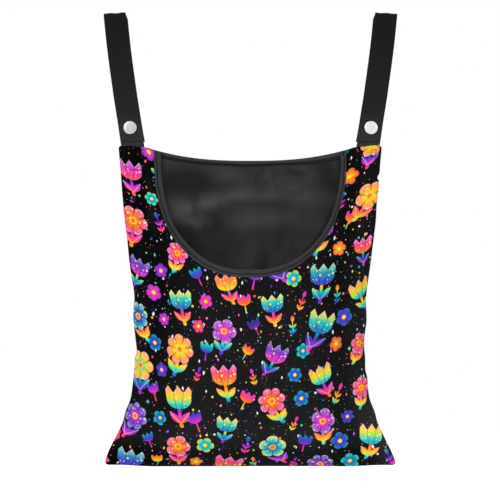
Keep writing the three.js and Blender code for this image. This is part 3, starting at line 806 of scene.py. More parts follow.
# How much darker the mouth's tape is on its part away from the mouth's edge, by the column.
binding_darkening = smooth_through(
    [[0, 0.1], [12, 0.06], [20, 0], [30, 0], [34, 0.25], [38, 0.42], [41, 0.2], [44, 0.12], [48, 0.1]]
)


def channel(width, groove, crown, lip):
    """The tape's section as (how far into the cloth, level) in metres, and how much painted shade each
    corner gets, most in the grooves and at the folded edges: a fold with two padded legs, each sewn down in
    a groove. What is given is in millimetres. crown is how far the outer leg stands up, and lip the inner
    leg's free edge. out and inn are the levels that the legs are sewn down to."""
    out, inn = -0.92, 0.84
    outside = [
        (width - 0.05, out, 1), (width + 0.12, out - 0.3, 0.6), (width - 0.05, out - 0.7, 0),
        (width - 0.7, out - crown, 0), (groove + 0.75, out - crown + 0.08, 0),
        (groove + 0.3, out - 0.42, 0.8), (groove, out - 0.16, 1), (groove - 0.3, out - 0.42, 0.8),
        (groove - 0.8, out - crown, 0), (groove * 0.5, out - crown - 0.25, 0),
        (0.4, out - crown - 0.1, 0), (-0.5, out - 0.5, 0), (-0.95, -0.45, 0),
    ]
    inside = [
        (-0.95, 0.35, 0), (-0.45, inn + 0.4, 0), (0.4, inn + 0.75, 0), (groove * 0.5, inn + 0.9, 0),
        (groove - 0.8, inn + 0.75, 0), (groove - 0.3, inn + 0.38, 0.8), (groove, inn + 0.18, 1),
        (groove + 0.3, inn + 0.38, 0.8), (groove + 0.8, inn + 0.72, 0), (width - 0.6, inn + lip, 0),
        (width - 0.05, inn + lip * 0.6, 0.7), (width - 0.05, inn, 1),
    ]
    channel_floor = [(width * 0.5, inn, 1), (-0.12, inn, 1), (-0.12, out, 1), (width * 0.5, out, 1)]
    section = np.array(outside + inside + channel_floor)
    return section[:, :2] * MM, section[:, 2]


def tape(name, side, section, columns, place, painted_light):
    """The section carried along an edge, where place(column, into) gives x and z."""
    column, corner = np.meshgrid(columns, np.arange(len(section)), indexing="ij")
    into, level = section[corner, 0], section[corner, 1]
    x, z = place(column, into)
    base_x, base_z = place(column, np.maximum(into, 0))
    points = cloth_points(side, base_x, base_z, level, top=None)
    points[..., 0] += x - base_x
    points[..., 2] += z - base_z
    girth = run_of(np.hypot(*np.diff(section, axis=0).T))
    along = run_of(np.linalg.norm(np.diff(points.mean(1), axis=0), axis=1))
    return swept(name, points, np.stack(np.broadcast_arrays(girth[corner], along[:, None]), -1), painted_light)


def mouth_place(column, into):
    """Into the cloth from the mouth's edge. The tape's own edge is not sewn on quite evenly."""
    wobble = 0.00022 * np.sin(column * 2.3 + 0.7 * np.sin(column * 0.9)) + 0.00012 * np.sin(column * 5.1)
    return near_mouth(column, np.where(into > 0, into * tape_share(column), into) + wobble * (into > MM))


def top_place(place, into):
    """Into the cloth from the top edge of the back."""
    z = top_edge(place) - np.where(into > 0, into * hem_share(place), into)
    return place / SHOULDER_HALF * reach(height_of(np.minimum(z, SHOULDER_Z)), place), z


near_end, far_end = np.linspace(0, 3, 26), np.linspace(COLUMNS - 3, COLUMNS, 26)
binding_columns = np.concatenate([near_end, np.linspace(3.1, COLUMNS - 3.1, 250), far_end])
# Painted shade in the tape's grooves and at its folded edges.
section, deep = channel(BINDING_WIDTH, BINDING_GROOVE, crown=1.05, lip=0.66)
deep = deep * 0.85 + binding_darkening(binding_columns)[:, None] * ease(0.0004, 0.0016, section[:, 0])
mouth_binding = tape("mouth_binding_tape", FRONT, section, binding_columns, mouth_place, deep)

section, deep = channel(HEM_WIDTH, HEM_GROOVE, crown=0.7, lip=1.2)
# Painted shade: the hem is darker from a little below its folded top edge.
deep = np.maximum(deep, ease(0.0019, 0.0034, section[:, 0]))
top_binding = tape("top_hem_tape", BACK, section, np.linspace(-HEM_HALF, HEM_HALF, 150), top_place, deep)


# The straps

STRAP_LEAN = (STRAP_TOP_X - STRAP_FOOT_X) / STRAP_RISE
STRAP_WIDTH, FLAP_WIDTH = 0.0256, 0.0264
STRAP_WAVE = 0.0003  # how far the edges of a strap wave
FLAP_DROP = 0.0004  # how much lower the flap's free end hangs than in the CAD model
FLAP_BEND = 0.0036  # how far it bends back towards the strap below the stud
LOOP_Z = WEBBING / 2 - LOOP_RADIUS
FLAP_Y = -LOOP_RADIUS


def strap_x(height):
    share = np.clip(height / STRAP_RISE, 0, 1)
    return STRAP_FOOT_X + STRAP_LEAN * height + 4 * STRAP_BOW * share * (1 - share)


def strap_shift(hand, height):
    """The straps are not quite alike: each stands out a little further towards its top, the right one more.
    Both bend inwards a little above the stud."""
    share = np.clip(height / STRAP_RISE, 0, 1)
    apart = 0.001 * share if hand < 0 else 0.0009 + 0.0011 * share
    return apart - 0.0008 * np.exp(-(((height - 0.058) / 0.045) ** 2))


def flap_shift(height):
    """The flap's free end turns a little inwards on its stud."""
    return -0.0011 * (1 - np.clip((height - FLAP_END_HEIGHT) / 0.05, 0, 1))


def pinched(across, z):
    """Where it folds over, the webbing draws in on its inner edge."""
    return np.where(across < 0, across * (1 - 0.16 * ease(-0.0085, 0.0, z) ** 1.5), across)


def ribbon_section(width):
    """Webbing cut across: flat faces and rounded edges, as (across, through)."""
    bend = WEBBING / 2
    flat_half = width / 2 - bend * 0.7
    turns = np.linspace(-np.pi / 2, np.pi / 2, 7)
    right = [(flat_half + bend * 0.7 * np.cos(t), bend * np.sin(t)) for t in turns]
    top = [(a, bend) for a in np.linspace(flat_half, -flat_half, 13)[1:-1]]
    return np.array([*right, *top, *((-a, -b) for a, b in right + top)])


def ribbon(name, hand, path, width, is_flap):
    """Webbing along a path of (y, z), leaning as the strap does. A flap turns on its stud and is pressed
    thin at its cut end, and a strap's edges wave."""
    across, through = ribbon_section(width).T[:, None]
    y, z = path[:, :1], path[:, 1:]
    ahead = np.gradient(path, axis=0)
    ahead /= np.linalg.norm(ahead, axis=1)[:, None]
    along = run_of(np.linalg.norm(np.diff(path, axis=0), axis=1))[:, None]
    share = across / (WEBBING_WIDTH / 2)
    if is_flap:
        push = through * (1 - 0.62 * ease(0.003, 0.0, z - path[-1, 1]))
    else:
        push = through + STRAP_WAVE * np.sin(along / 0.021 + hand) * share
    height = z - SHOULDER_Z
    middle = strap_x(height) + strap_shift(hand, height) + (flap_shift(height) if is_flap else 0)
    x = hand * (middle + pinched(across, z) * np.hypot(1, STRAP_LEAN))
    y = y - ahead[:, 1:] * push
    z = z + ahead[:, :1] * push
    crooked = -0.0006 * share + 0.0003 * np.sin(share * 5 + hand)  # the fold isn't quite straight
    z = z + ease(-0.012, 0.0, z) * crooked
    uv = np.stack(np.broadcast_arrays(across, along), -1)
    return swept(name, np.stack(np.broadcast_arrays(x, y, z), -1), uv)


def path_through(*points, step=0.0022):
    """Even points along straight stretches."""
    result = [np.array(points[0], float)]
    for start, end in zip(points, points[1:]):
        start, end = np.array(start, float), np.array(end, float)
        steps = max(1, math.ceil(np.linalg.norm(end - start) / step))
        result += [lerp(start, end, i / steps) for i in range(1, steps + 1)]
    return np.array(result)


def rounded(path, passes):
    """The same path with its corners eased."""
    for _ in range(passes):
        path[1:-1] = (path[:-2] + 2 * path[1:-1] + path[2:]) / 4
    return path


# The strap runs straight from its sewn-in tail past the stud, and leans back from there to the loop.
tail_end, bend = (0, SHOULDER_Z - TAIL_LENGTH), (0, SHOULDER_Z + STUD_HEIGHT + 0.0075)
strap_path = rounded(path_through(tail_end, bend, (LOOP_RADIUS, LOOP_Z)), 6)
loop = [(LOOP_RADIUS * math.cos(a), LOOP_Z + LOOP_RADIUS * math.sin(a)) for a in np.linspace(0, np.pi, 25)]
flap_end = (FLAP_Y, SHOULDER_Z + FLAP_END_HEIGHT - FLAP_DROP)
flap_path = np.concatenate([np.array(loop), path_through((FLAP_Y, LOOP_Z - 0.002), flap_end)])
flap_path[:, 0] += FLAP_BEND * ease(0.0095, 0.0, flap_path[:, 1] - flap_end[1])

straps, flaps = {}, {}
for word, hand in HANDS:
    straps[word] = ribbon(f"strap_webbing_{word}", hand, strap_path, STRAP_WIDTH, False)
    flaps[word] = ribbon(f"flap_webbing_{word}", hand, flap_path, FLAP_WIDTH, True)


# The press studs, turned on their axis

METAL_GAP = 0.0002
CAP_RADIUS, CAP_RISE = 0.0075, 0.0023
CAP_BEAD = 0.0011  # radius of the cap's rolled rim
SOCKET_RADIUS, SOCKET_HEIGHT, SOCKET_BORE = 0.0062, 0.0024, 0.0032
SOCKET_SHOULDER = 0.0007  # how far its edges are cut back
STUD_RADIUS, STUD_NECK, STUD_RISE = 0.003, 0.0026, 0.00165
STUD_FLANGE, RIVET_FLANGE = 0.0056, 0.005  # radii
PLATE = 0.0005  # thickness of the flanges
HOLE = 0.0017  # radius of the hole that a tube goes through
TUBE = 0.0014
STUD_SHIFT = 0.0006  # both studs are set a little to the right

cap_seat = FLAP_Y - WEBBING / 2 - METAL_GAP
socket_seat = FLAP_Y + WEBBING / 2 + METAL_GAP
socket_mouth = socket_seat + SOCKET_HEIGHT
stud_seat = -WEBBING / 2 - METAL_GAP
stud_end = stud_seat - PLATE - STUD_RISE
rivet_seat = WEBBING / 2 + METAL_GAP


def turned(name, hand, outline, steps=72):
    """An outline of (radius, y) turned about the stud's axis. Its ends lie on the axis or meet."""
    x0, z0 = hand * strap_x(STUD_HEIGHT) + STUD_SHIFT, SHOULDER_Z + STUD_HEIGHT
    angles = np.linspace(0, 2 * np.pi, steps, endpoint=False)
    points, faces, rings = [], [], []
    for radius, y in outline:
        if radius == 0:
            rings.append([len(points)] * steps)
            points.append((x0, y, z0))
        else:
            rings.append([len(points) + i for i in range(steps)])
            points += [(x0 + radius * math.cos(a), y, z0 + radius * math.sin(a)) for a in angles]
    pairs = list(zip(rings, rings[1:]))
    if outline[0][0] > 0:
        pairs.append((rings[-1], rings[0]))
    for low, high in pairs:
        for i in range(steps):
            j = (i + 1) % steps
            face = list(dict.fromkeys([low[i], low[j], high[j], high[i]]))
            if len(face) > 2:
                faces.append(face)
    return mesh_object(name, points, faces)


def bevelled(outline, size, closed):
    """Corners of an outline cut back in two short steps."""
    outline = np.array(outline, float)
    result = []
    count = len(outline)
    for i, point in enumerate(outline):
        if not closed and i in (0, count - 1):
            result.append(point)
            continue
        before, after = outline[i - 1] - point, outline[(i + 1) % count] - point
        lengths = np.linalg.norm(before), np.linalg.norm(after)
        cut = min(size, lengths[0] * 0.4, lengths[1] * 0.4)
        a, b = point + before / lengths[0] * cut, point + after / lengths[1] * cut
        result += [a, (a + b + 2 * point) / 4, b]
    return result


def cap_outline():
    """A tube through the webbing, a rolled rim and a shallow dome."""
    bead_middle = CAP_RADIUS - CAP_BEAD
    rim = [
        (bead_middle + CAP_BEAD * math.cos(a), cap_seat - 0.00085 - 0.0012 * math.sin(a))
        for a in np.linspace(-0.75, math.pi / 2, 11)
    ]
    face = [
        (share * bead_middle, cap_seat - CAP_RISE + 0.0003 * share**3 - 0.00003 * math.cos(share * 9))
        for share in (0.94, 0.86, 0.76, 0.64, 0.5, 0.34, 0.18)
    ]
    tube_end = socket_seat + 0.0006
    tube = [(0, tube_end), (TUBE, tube_end), (TUBE, cap_seat), (CAP_RADIUS - 0.0007, cap_seat)]
    return [*tube, *rim, *face, (0, cap_seat - CAP_RISE)]


def socket_outline():
    """A ring with cut-back edges, open for the stud's head, with a hole in its floor for the cap's tube."""
    inner = SOCKET_RADIUS - SOCKET_SHOULDER
    floor_y = socket_seat + PLATE
    return bevelled(
        [(HOLE, socket_seat), (inner, socket_seat), (SOCKET_RADIUS, socket_seat + SOCKET_SHOULDER),
         (SOCKET_RADIUS, socket_mouth - SOCKET_SHOULDER), (inner, socket_mouth),
         (SOCKET_BORE, socket_mouth), (SOCKET_BORE, floor_y), (HOLE, floor_y)],
        0.0002, True,
    )


def stud_outline():
    """A flange, and a hollow head that is wider than its neck."""
    flange_y, inside_y = stud_seat - PLATE, stud_end + PLATE
    return bevelled(
        [(0, inside_y), (HOLE, inside_y), (HOLE, stud_seat), (STUD_FLANGE, stud_seat),
         (STUD_FLANGE, flange_y), (STUD_NECK, flange_y), (STUD_NECK, flange_y - 0.0004),
         (STUD_RADIUS, flange_y - 0.0008), (STUD_RADIUS, stud_end + 0.0004), (STUD_NECK, stud_end),
         (0, stud_end)],
        0.00018, False,
    )


def rivet_outline():
    """A flange behind the strap, and a tube through it into the stud."""
    back_y, tip_y = rivet_seat + PLATE, stud_end + 0.0008
    return bevelled(
        [(0, back_y), (RIVET_FLANGE - PLATE, back_y), (RIVET_FLANGE, rivet_seat), (TUBE, rivet_seat),
         (TUBE, tip_y), (0, tip_y)],
        0.00015, False,
    )


studs = {}
for word, hand in HANDS:
    for part, outline, body in (
        ("snap_cap", cap_outline(), f"{word}_flap"),
        ("snap_socket", socket_outline(), f"{word}_flap"),
        ("stud", stud_outline(), "straps"),
        ("stud_rivet", rivet_outline(), "straps"),
    ):
        studs[part, word] = (turned(f"{part}_turned_{word}", hand, outline), body)


# Stitches, by geometry nodes

def stitch_tree():
    """A node tree that lays one short thread after another along the lines it is given."""
    tree = bpy.data.node_groups.new("stitch_line", "GeometryNodeTree")
    for name, kind, default in (
        ("Lines", "Geometry", None), ("Pitch", "Float", 0.003), ("Stitch Length", "Float", 0.0024),
        ("Thread Radius", "Float", 0.00024), ("Unevenness", "Float", 0.12), ("Thread", "Material", None),
    ):
        socket = tree.interface.new_socket(name, in_out="INPUT", socket_type="NodeSocket" + kind)
        if default is not None:
            socket.default_value = default
    tree.interface.new_socket("Stitches", in_out="OUTPUT", socket_type="NodeSocketGeometry")

    def node(kind, operation=None, **values):
        made = tree.nodes.new(kind)
        if operation:
            made.operation = operation
        for name, value in values.items():
            made.inputs[name].default_value = value
        return made

    given, result = node("NodeGroupInput"), node("NodeGroupOutput")
    curve, points = node("GeometryNodeMeshToCurve"), node("GeometryNodeCurveToPoints")
    points.mode = "LENGTH"
    ball = node("GeometryNodeMeshUVSphere", Segments=6, Rings=5, Radius=1.0)
    size, scale = node("ShaderNodeCombineXYZ"), node("ShaderNodeVectorMath", "SCALE")
    half, low, high = (node("ShaderNodeMath", way) for way in ("DIVIDE", "SUBTRACT", "ADD"))
    half.inputs[1].default_value = 2.0
    low.inputs[0].default_value = high.inputs[0].default_value = 1.0
    jitter, smooth = node("FunctionNodeRandomValue", Seed=5), node("GeometryNodeSetShadeSmooth")
    place, real = node("GeometryNodeInstanceOnPoints"), node("GeometryNodeRealizeInstances")
    paint = node("GeometryNodeSetMaterial")
    for source, output, target, slot in (
        (given, "Lines", curve, "Mesh"),
        (curve, "Curve", points, "Curve"),
        (given, "Pitch", points, "Length"),
        (given, "Thread Radius", size, 0),
        (given, "Thread Radius", size, 1),
        (given, "Stitch Length", half, 0),
        (half, 0, size, 2),
        (given, "Unevenness", low, 1),
        (given, "Unevenness", high, 1),
        (low, 0, jitter, 2),
        (high, 0, jitter, 3),
        (size, 0, scale, 0),
        (jitter, 1, scale, "Scale"),
        (points, "Points", place, "Points"),
        (points, "Rotation", place, "Rotation"),
        (ball, "Mesh", smooth, "Geometry"),
        (smooth, "Geometry", place, "Instance"),
        (scale, 0, place, "Scale"),
        (place, "Instances", real, "Geometry"),
        (real, "Geometry", paint, "Geometry"),
        (given, "Thread", paint, "Material"),
        (paint, "Geometry", result, "Stitches"),
    ):
        tree.links.new(source.outputs[output], target.inputs[slot])
    return tree


def stitches(name, lines, pitch, length, radius):
    """The stitches along some lines of points, as a plain mesh."""
    points, edges = [], []
    for line in lines:
        start = len(points)
        points += [tuple(p) for p in line]
        edges += [(start + i, start + i + 1) for i in range(len(line) - 1)]
    mesh = bpy.data.meshes.new(name + "_lines")
    mesh.from_pydata(points, edges, [])
    guide = in_scene(name + "_lines", mesh)
    modifier = guide.modifiers.new("stitches", "NODES")
    modifier.node_group = stitch_nodes
    settings = {
        "Pitch": pitch, "Stitch Length": length, "Thread Radius": radius, "Thread": finishes["thread"],
    }
    for item in stitch_nodes.interface.items_tree:
        if item.in_out == "INPUT" and item.name in settings:
            modifier[item.identifier] = settings[item.name]
    evaluated = guide.evaluated_get(bpy.context.evaluated_depsgraph_get())
    made = bpy.data.meshes.new_from_object(evaluated)
    made.name = name
    guide.modifiers.remove(modifier)
    bpy.data.objects.remove(guide)
    return in_scene(name, made)


# Values in node trees

def colour(code):
    """A linear colour from its written #rrggbb."""
    parts = [int(code[i : i + 2], 16) / 255 for i in (1, 3, 5)]
    return (*[p / 12.92 if p <= 0.04045 else ((p + 0.055) / 1.055) ** 2.4 for p in parts], 1)


class Value:
    """A number in a shader's node tree, for plain arithmetic on the nodes."""

    def __init__(self, tree, socket):
        self.tree, self.socket = tree, socket

    def math(self, operation, *others, clamp=False):
        node = self.tree.nodes.new("ShaderNodeMath")
        node.operation, node.use_clamp = operation, clamp
        for slot, item in zip(node.inputs, (self, *others)):
            feed(self.tree, slot, item)
        return Value(self.tree, node.outputs[0])

    __add__ = __radd__ = partialmethod(math, "ADD")
    __sub__ = partialmethod(math, "SUBTRACT")
    __mul__ = __rmul__ = partialmethod(math, "MULTIPLY")
    __truediv__ = partialmethod(math, "DIVIDE")
    __pow__ = partialmethod(math, "POWER")
    __neg__ = partialmethod(math, "MULTIPLY", -1)
    __abs__ = partialmethod(math, "ABSOLUTE")
    floor = partialmethod(math, "FLOOR")
    root = partialmethod(math, "SQRT")
    either = partialmethod(math, "MAXIMUM")
    above_zero = partialmethod(math, "MAXIMUM", 0.0)

    def __rsub__(self, other):
        return -self + other

    def step(self, low, high):
        """0 below low, 1 above high, and smooth between."""
        node = self.tree.nodes.new("ShaderNodeMapRange")
        node.interpolation_type = "SMOOTHSTEP"
        for name, item in (("Value", self), ("From Min", low), ("From Max", high)):
            feed(self.tree, node.inputs[name], item)
        return Value(self.tree, node.outputs[0])

    def under(self, limit, soft=0.3):
        """1 where this is less than the limit, with a soft edge."""
        if isinstance(limit, Value):
            inside = (limit - self) / soft + 0.5
        else:
            inside = self * (-1 / soft) + (limit / soft + 0.5)
        return inside.math("ADD", 0.0, clamp=True)

    def is_odd(self):
        """1 for odd whole numbers and 0 for even ones."""
        return abs(self.math("MODULO", 2.0))


def feed(tree, slot, item):
    """Links a value or socket to an input, or sets a plain number on it."""
    if isinstance(item, Value):
        tree.links.new(item.socket, slot)
    elif isinstance(item, bpy.types.NodeSocket):
        tree.links.new(item, slot)
    else:
        slot.default_value = item


def mixed(tree, share, low, high):
    """Two colours mixed by a share."""
    node = tree.nodes.new("ShaderNodeMix")
    node.data_type = "RGBA"
    for slot, item in ((node.inputs[0], share), (node.inputs[6], low), (node.inputs[7], high)):
        feed(tree, slot, item)
    return node.outputs[2]


def scaled(tree, base, factor):
    """A vector or colour times a number."""
    node = tree.nodes.new("ShaderNodeVectorMath")
    node.operation = "SCALE"
    feed(tree, node.inputs[0], base[:3] if isinstance(base, tuple) else base)
    feed(tree, node.inputs["Scale"], factor)
    return node.outputs[0]


def parted(tree, vector):
    node = tree.nodes.new("ShaderNodeSeparateXYZ")
    feed(tree, node.inputs[0], vector)
    return [Value(tree, out) for out in node.outputs]


def joined(tree, *parts):
    node = tree.nodes.new("ShaderNodeCombineXYZ")
    for slot, part in zip(node.inputs, parts):
        feed(tree, slot, part)
    return node.outputs[0]


def noise_value(tree, place, scale, detail=4.0, rough=0.5):
    node = tree.nodes.new("ShaderNodeTexNoise")
    feed(tree, node.inputs["Vector"], place)
    for name, value in (("Scale", scale), ("Detail", detail), ("Roughness", rough)):
        node.inputs[name].default_value = value
    return Value(tree, node.outputs[0])


def painted_light_value(tree):
    """The painted sheen or painted shade that the piece carries on its points."""
    node = tree.nodes.new("ShaderNodeAttribute")
    node.attribute_name = "painted_light"
    return Value(tree, node.outputs["Fac"])


def coordinates(tree, kind):
    return tree.nodes.new("ShaderNodeTexCoord").outputs[kind]


def cloth_place(tree):
    """The place on the flat cloth, in millimetres."""
    return scaled(tree, coordinates(tree, "UV"), 1 / MM)


def group(name, inputs, outputs):
    """A new shader node group, and the sockets of its inputs and outputs on its inside."""
    tree = bpy.data.node_groups.new(name, "ShaderNodeTree")
    for label, kind in inputs:
        tree.interface.new_socket(label, in_out="INPUT", socket_type="NodeSocket" + kind)
    for label, kind in outputs:
        tree.interface.new_socket(label, in_out="OUTPUT", socket_type="NodeSocket" + kind)
    return tree, tree.nodes.new("NodeGroupInput").outputs, tree.nodes.new("NodeGroupOutput").inputs


def placed(tree, node_group, **inputs):
    """A group's outputs in a material, with its inputs set."""
    node = tree.nodes.new("ShaderNodeGroup")
    node.node_tree = node_group
    for name, item in inputs.items():
        feed(tree, node.inputs[name], item)
    return node.outputs


# The print, in millimetres on the flat cloth

PAINT = {
    "cream": "#fdf6e6", "pearl": "#f4f0fa", "plum": "#2a1140", "yellow": "#fbe04a", "straw": "#fff2c8",
    "blush": "#ffd9ee", "violet": "#32104e", "butter": "#ffe98a", "chalk": "#fff8f4", "orange": "#f7742e",
}
PAINT = {name: colour(code) for name, code in PAINT.items()}
INKS = [
    (0.0, "#f6cf26"), (0.09, "#f7a02a"), (0.2, "#f46a34"), (0.3, "#f0427a"), (0.41, "#e23ac0"),
    (0.52, "#9a34c8"), (0.62, "#5636b8"), (0.7, "#2c55c0"), (0.79, "#1f93b8"), (0.88, "#22cdbc"),
    (0.95, "#b6dc4a"), (1.0, "#f6cf26"),
]
SHARP = 0.01  # edge of a yes or no that is drawn by chance
LARGE_CELL = 54.0  # how far apart the large flowers' columns and rows are


def ink(tree, place):
    """The print's colours in a ring, by a place from 0 to 1 that runs on past 1."""
    ramp = tree.nodes.new("ShaderNodeValToRGB")
    feed(tree, ramp.inputs[0], place.math("FRACT"))
    elements = ramp.color_ramp.elements
    while len(elements) < len(INKS):
        elements.new(0.5)
    for element, (position, code) in zip(elements, INKS):
        element.position, element.color = position, colour(code)
    return ramp.outputs[0]


def chance(tree, *seeds):
    """Three random numbers for a cell."""
    node = tree.nodes.new("ShaderNodeTexWhiteNoise")
    node.noise_dimensions = "3D"
    feed(tree, node.inputs["Vector"], joined(tree, *seeds))
    return parted(tree, node.outputs["Color"])


def scattered(tree, x, y, width, height, seed, jitter, turn, drop=0.0, shift=(0, 0), aside=0.0):
    """One place a cell: the local x and y, and the cell's random numbers. drop lowers every other column,
    and aside pushes the places left and right in turn."""
    across = (x + shift[0]) / width
    column = across.floor()
    down = (y + shift[1]) / height
    if drop:
        down = down + column.is_odd() * drop
    row = down.floor()
    first, second = chance(tree, column, row, seed), chance(tree, column, row, seed + 11.5)
    u = (across - column - 0.5) * width - (first[0] - 0.5) * (2 * jitter)
    v = (down - row - 0.5) * height - (first[1] - 0.5) * (2 * jitter)
    if aside:
        u = u + ((column + row).is_odd() - 0.5) * (2 * aside)
    if turn:
        angle = (first[2] - 0.5) * (2 * turn)
        cos, sin = angle.math("COSINE"), angle.math("SINE")
        u, v = u * cos + v * sin, v * cos - u * sin
    return u, v, first, second


def blossom(x, y, centre_y, radius, petals, notch):
    """A round flower: its mask, how far out a point lies, the lines between petals and its eye."""
    v = y - centre_y
    out = (x * x + v * v).root()
    lobe = abs((v.math("ARCTAN2", x) * petals).math("COSINE"))
    edge = (lobe**0.6) * (notch * radius) + (1 - notch) * radius
    return out.under(edge), out / radius, lobe.under(0.22, 0.3), out.under(radius * 0.24)


def tulip(x, y):
    """A cup of three pointed petals: its mask, the height in it and the lines between petals."""
    wide = abs(x)
    below, above = (6 - y).above_zero(), (y - 6).above_zero()
    cup = (1 - (below / 9) ** 2.0).above_zero().root() * 13 + above * 0.1
    point = wide.math("PINGPONG", 5.4)
    mask = wide.under(cup) * y.under(18.5 - point * 1.25)
    line = abs(wide - (5.4 - (12 - y) * 0.2)).under(0.4, 0.4) * y.under(12.5)
    return mask, (y + 3) / 21, line


def leaf(x, y, base_y, turn, length, width):
    """A pair of pointed leaves either side of the stem, and their middle ribs."""
    wide, up = abs(x), y - base_y
    cos, sin = math.cos(turn), math.sin(turn)
    beside, along = wide * cos - up * sin, wide * sin + up * cos
    swell = (along * (math.pi / length)).math("SINE").above_zero()
    inside = along.under(length) * (-along).under(0.0)
    mask = abs(beside).under(swell * width) * inside * (swell - 0.02).step(0, 0.1)
    return mask, abs(beside).under(0.3, 0.3)


def specks(tree, x, y, cell, seed, least, most, often):
    """Round dots of many sizes: their mask and the cells' random numbers."""
    u, v, first, second = scattered(tree, x, y, cell, cell, seed, cell * 0.28, 0)
    size = (second[0] ** 2.0) * (most - least) + least
    return (u * u + v * v).root().under(size, 0.25) * second[1].under(often, SHARP), first, second


def with_dust(tree, x, y, laid):
    """Fine dust and larger dots."""
    for cell, seed, least, most, often in ((4.9, 3.1, 0.2, 0.45, 0.3), (8.8, 7.7, 0.4, 1.45, 0.5)):
        dot, first, second = specks(tree, x, y, cell, seed, least, most, often)
        colours = ink(tree, second[2] * 0.9 + first[2])
        laid = mixed(tree, dot, laid, mixed(tree, first[2].step(0.6, 0.95) * 0.8, colours, PAINT["cream"]))
    return laid


def with_diamonds(tree, x, y, laid):
    """Small diamonds, some white and some in colour, with a light middle."""
    u, v, _, second = scattered(tree, x, y, 21.0, 18.0, 12.3, 5.0, 0.25)
    size = second[0] * 1.2 + 1.7
    out = abs(u) * 2.0 + abs(v)
    shade = mixed(tree, second[2].under(0.36, SHARP), ink(tree, second[2] * 1.9), PAINT["pearl"])
    shade = mixed(tree, out.under(size * 0.34, 0.5) * 0.7, shade, PAINT["cream"])
    return mixed(tree, out.under(size, 0.3) * second[1].under(0.6, SHARP), laid, shade)


def with_small_motifs(tree, x, y, laid):
    """Small flowers, tulips and sprigs between the columns of large ones, and their mask."""
    shift = (LARGE_CELL / 2, 5.5)
    u, v, first, second = scattered(
        tree, x, y, LARGE_CELL, LARGE_CELL / 2, 21.9, 1.6, 0.55, shift=shift, aside=5.0
    )
    grow = second[1] * 0.34 + 0.76
    u, v = u / grow, v / grow
    flower, far, line, eye = blossom(u, v, 0.0, 9.4, (first[0] * 2).floor() * 0.5 + 2.5, 0.32)
    stalk = abs(u).under(0.75) * v.under(0.0) * (-v).under(10.5)
    cup = tulip(u * 1.7, v * 1.7 - 1.5)[0].either(stalk)
    folded = v - ((v + 9) / 6.2).floor() * 6.2 + 9
    leaves = leaf(u, folded, 0.0, 0.72, 7.0, 1.35)[0] * v.under(2.6)
    tip = blossom(u, v * 0.62, 5.4, 2.1, 0.5, 0.0)[0]
    sprig = leaves.either(abs(u).under(0.5) * v.under(6.0)).either(tip) * (-v).under(10.0)
    is_flower, not_sprig = second[2].under(0.45, SHARP), second[2].under(0.74, SHARP)
    mask = flower * is_flower + cup * (not_sprig - is_flower) + sprig * (1 - not_sprig)
    mask = mask * first[1].under(0.92, SHARP)
    shade = ink(tree, first[2] * 1.7 + far * 0.24 * is_flower + v * 0.024 * (1 - is_flower))
    shade = mixed(tree, (line * far.step(0.25, 0.5) * 0.5) * is_flower, shade, PAINT["plum"])
    shade = mixed(tree, eye * is_flower, shade, PAINT["yellow"])
    return mixed(tree, mask, laid, shade), mask


def with_large_flowers(tree, x, y, laid):
    """Large flowers and tulips on stems with leaves, and their mask."""
    u, v, first, second = scattered(tree, x, y, LARGE_CELL, LARGE_CELL, 33.4, 2.6, 0.4, drop=0.5)
    grow = second[1] * 0.38 + 0.83
    u, v = u / grow, v / grow

    bend = (v - 2) * (v - 2) * ((first[2] - 0.5) * 0.026)
    below_end = (-19.0 - v).above_zero()
    from_stem = ((u - bend) ** 2.0 + below_end * below_end).root()
    leaves, rib = leaf(u - bend, v, -17.0, 0.74, 15.5, 3.1)
    green = (from_stem.under(1.5 - v * 0.03) * v.under(1.0)).either(leaves)
    stem_ink = ink(tree, first[1] * 3.0 + 0.35 + v * 0.026)
    stem_ink = mixed(tree, rib * leaves * 0.5, stem_ink, PAINT["straw"])

    cup, rise, cup_line = tulip(u, v)
    petals = (second[0] * 4).floor() * 0.5 + 2.5
    round_head, far, round_line, eye = blossom(u, v, 6.0, 14.2, petals, 0.28)
    is_tulip = second[2].under(0.45, SHARP)
    is_round = 1 - is_tulip
    head = cup * is_tulip + round_head * is_round
    climb = rise * is_tulip + far * is_round
    line = cup_line * is_tulip + round_line * far.step(0.2, 0.45) * is_round
    brush = noise_value(tree, joined(tree, u, v, first[0] * 9), 0.4, 3.0, 0.6)
    head_ink = ink(tree, first[0] * 3.0 + climb * 0.3 + brush * 0.1)
    head_ink = mixed(tree, (climb - 0.55).step(0.0, 0.5) * 0.3, head_ink, PAINT["blush"])
    head_ink = mixed(tree, line * 0.55, head_ink, PAINT["violet"])
    for cell, seed, least, most, often in ((4.6, 41.3, 0.5, 1.25, 0.55), (2.1, 43.9, 0.16, 0.34, 0.5)):
        speck, _, drawn = specks(tree, u, v, cell, seed, least, most, often)
        fleck = mixed(tree, drawn[2].under(0.4, SHARP), PAINT["butter"], PAINT["chalk"])
        head_ink = mixed(tree, speck * (1 - line) * 0.9, head_ink, fleck)
    heart_ink = mixed(tree, far.step(0.1, 0.26), PAINT["orange"], PAINT["yellow"])
    head_ink = mixed(tree, eye * is_round, head_ink, heart_ink)
    laid = mixed(tree, green, laid, stem_ink)
    return mixed(tree, head, laid, head_ink), head.either(green)


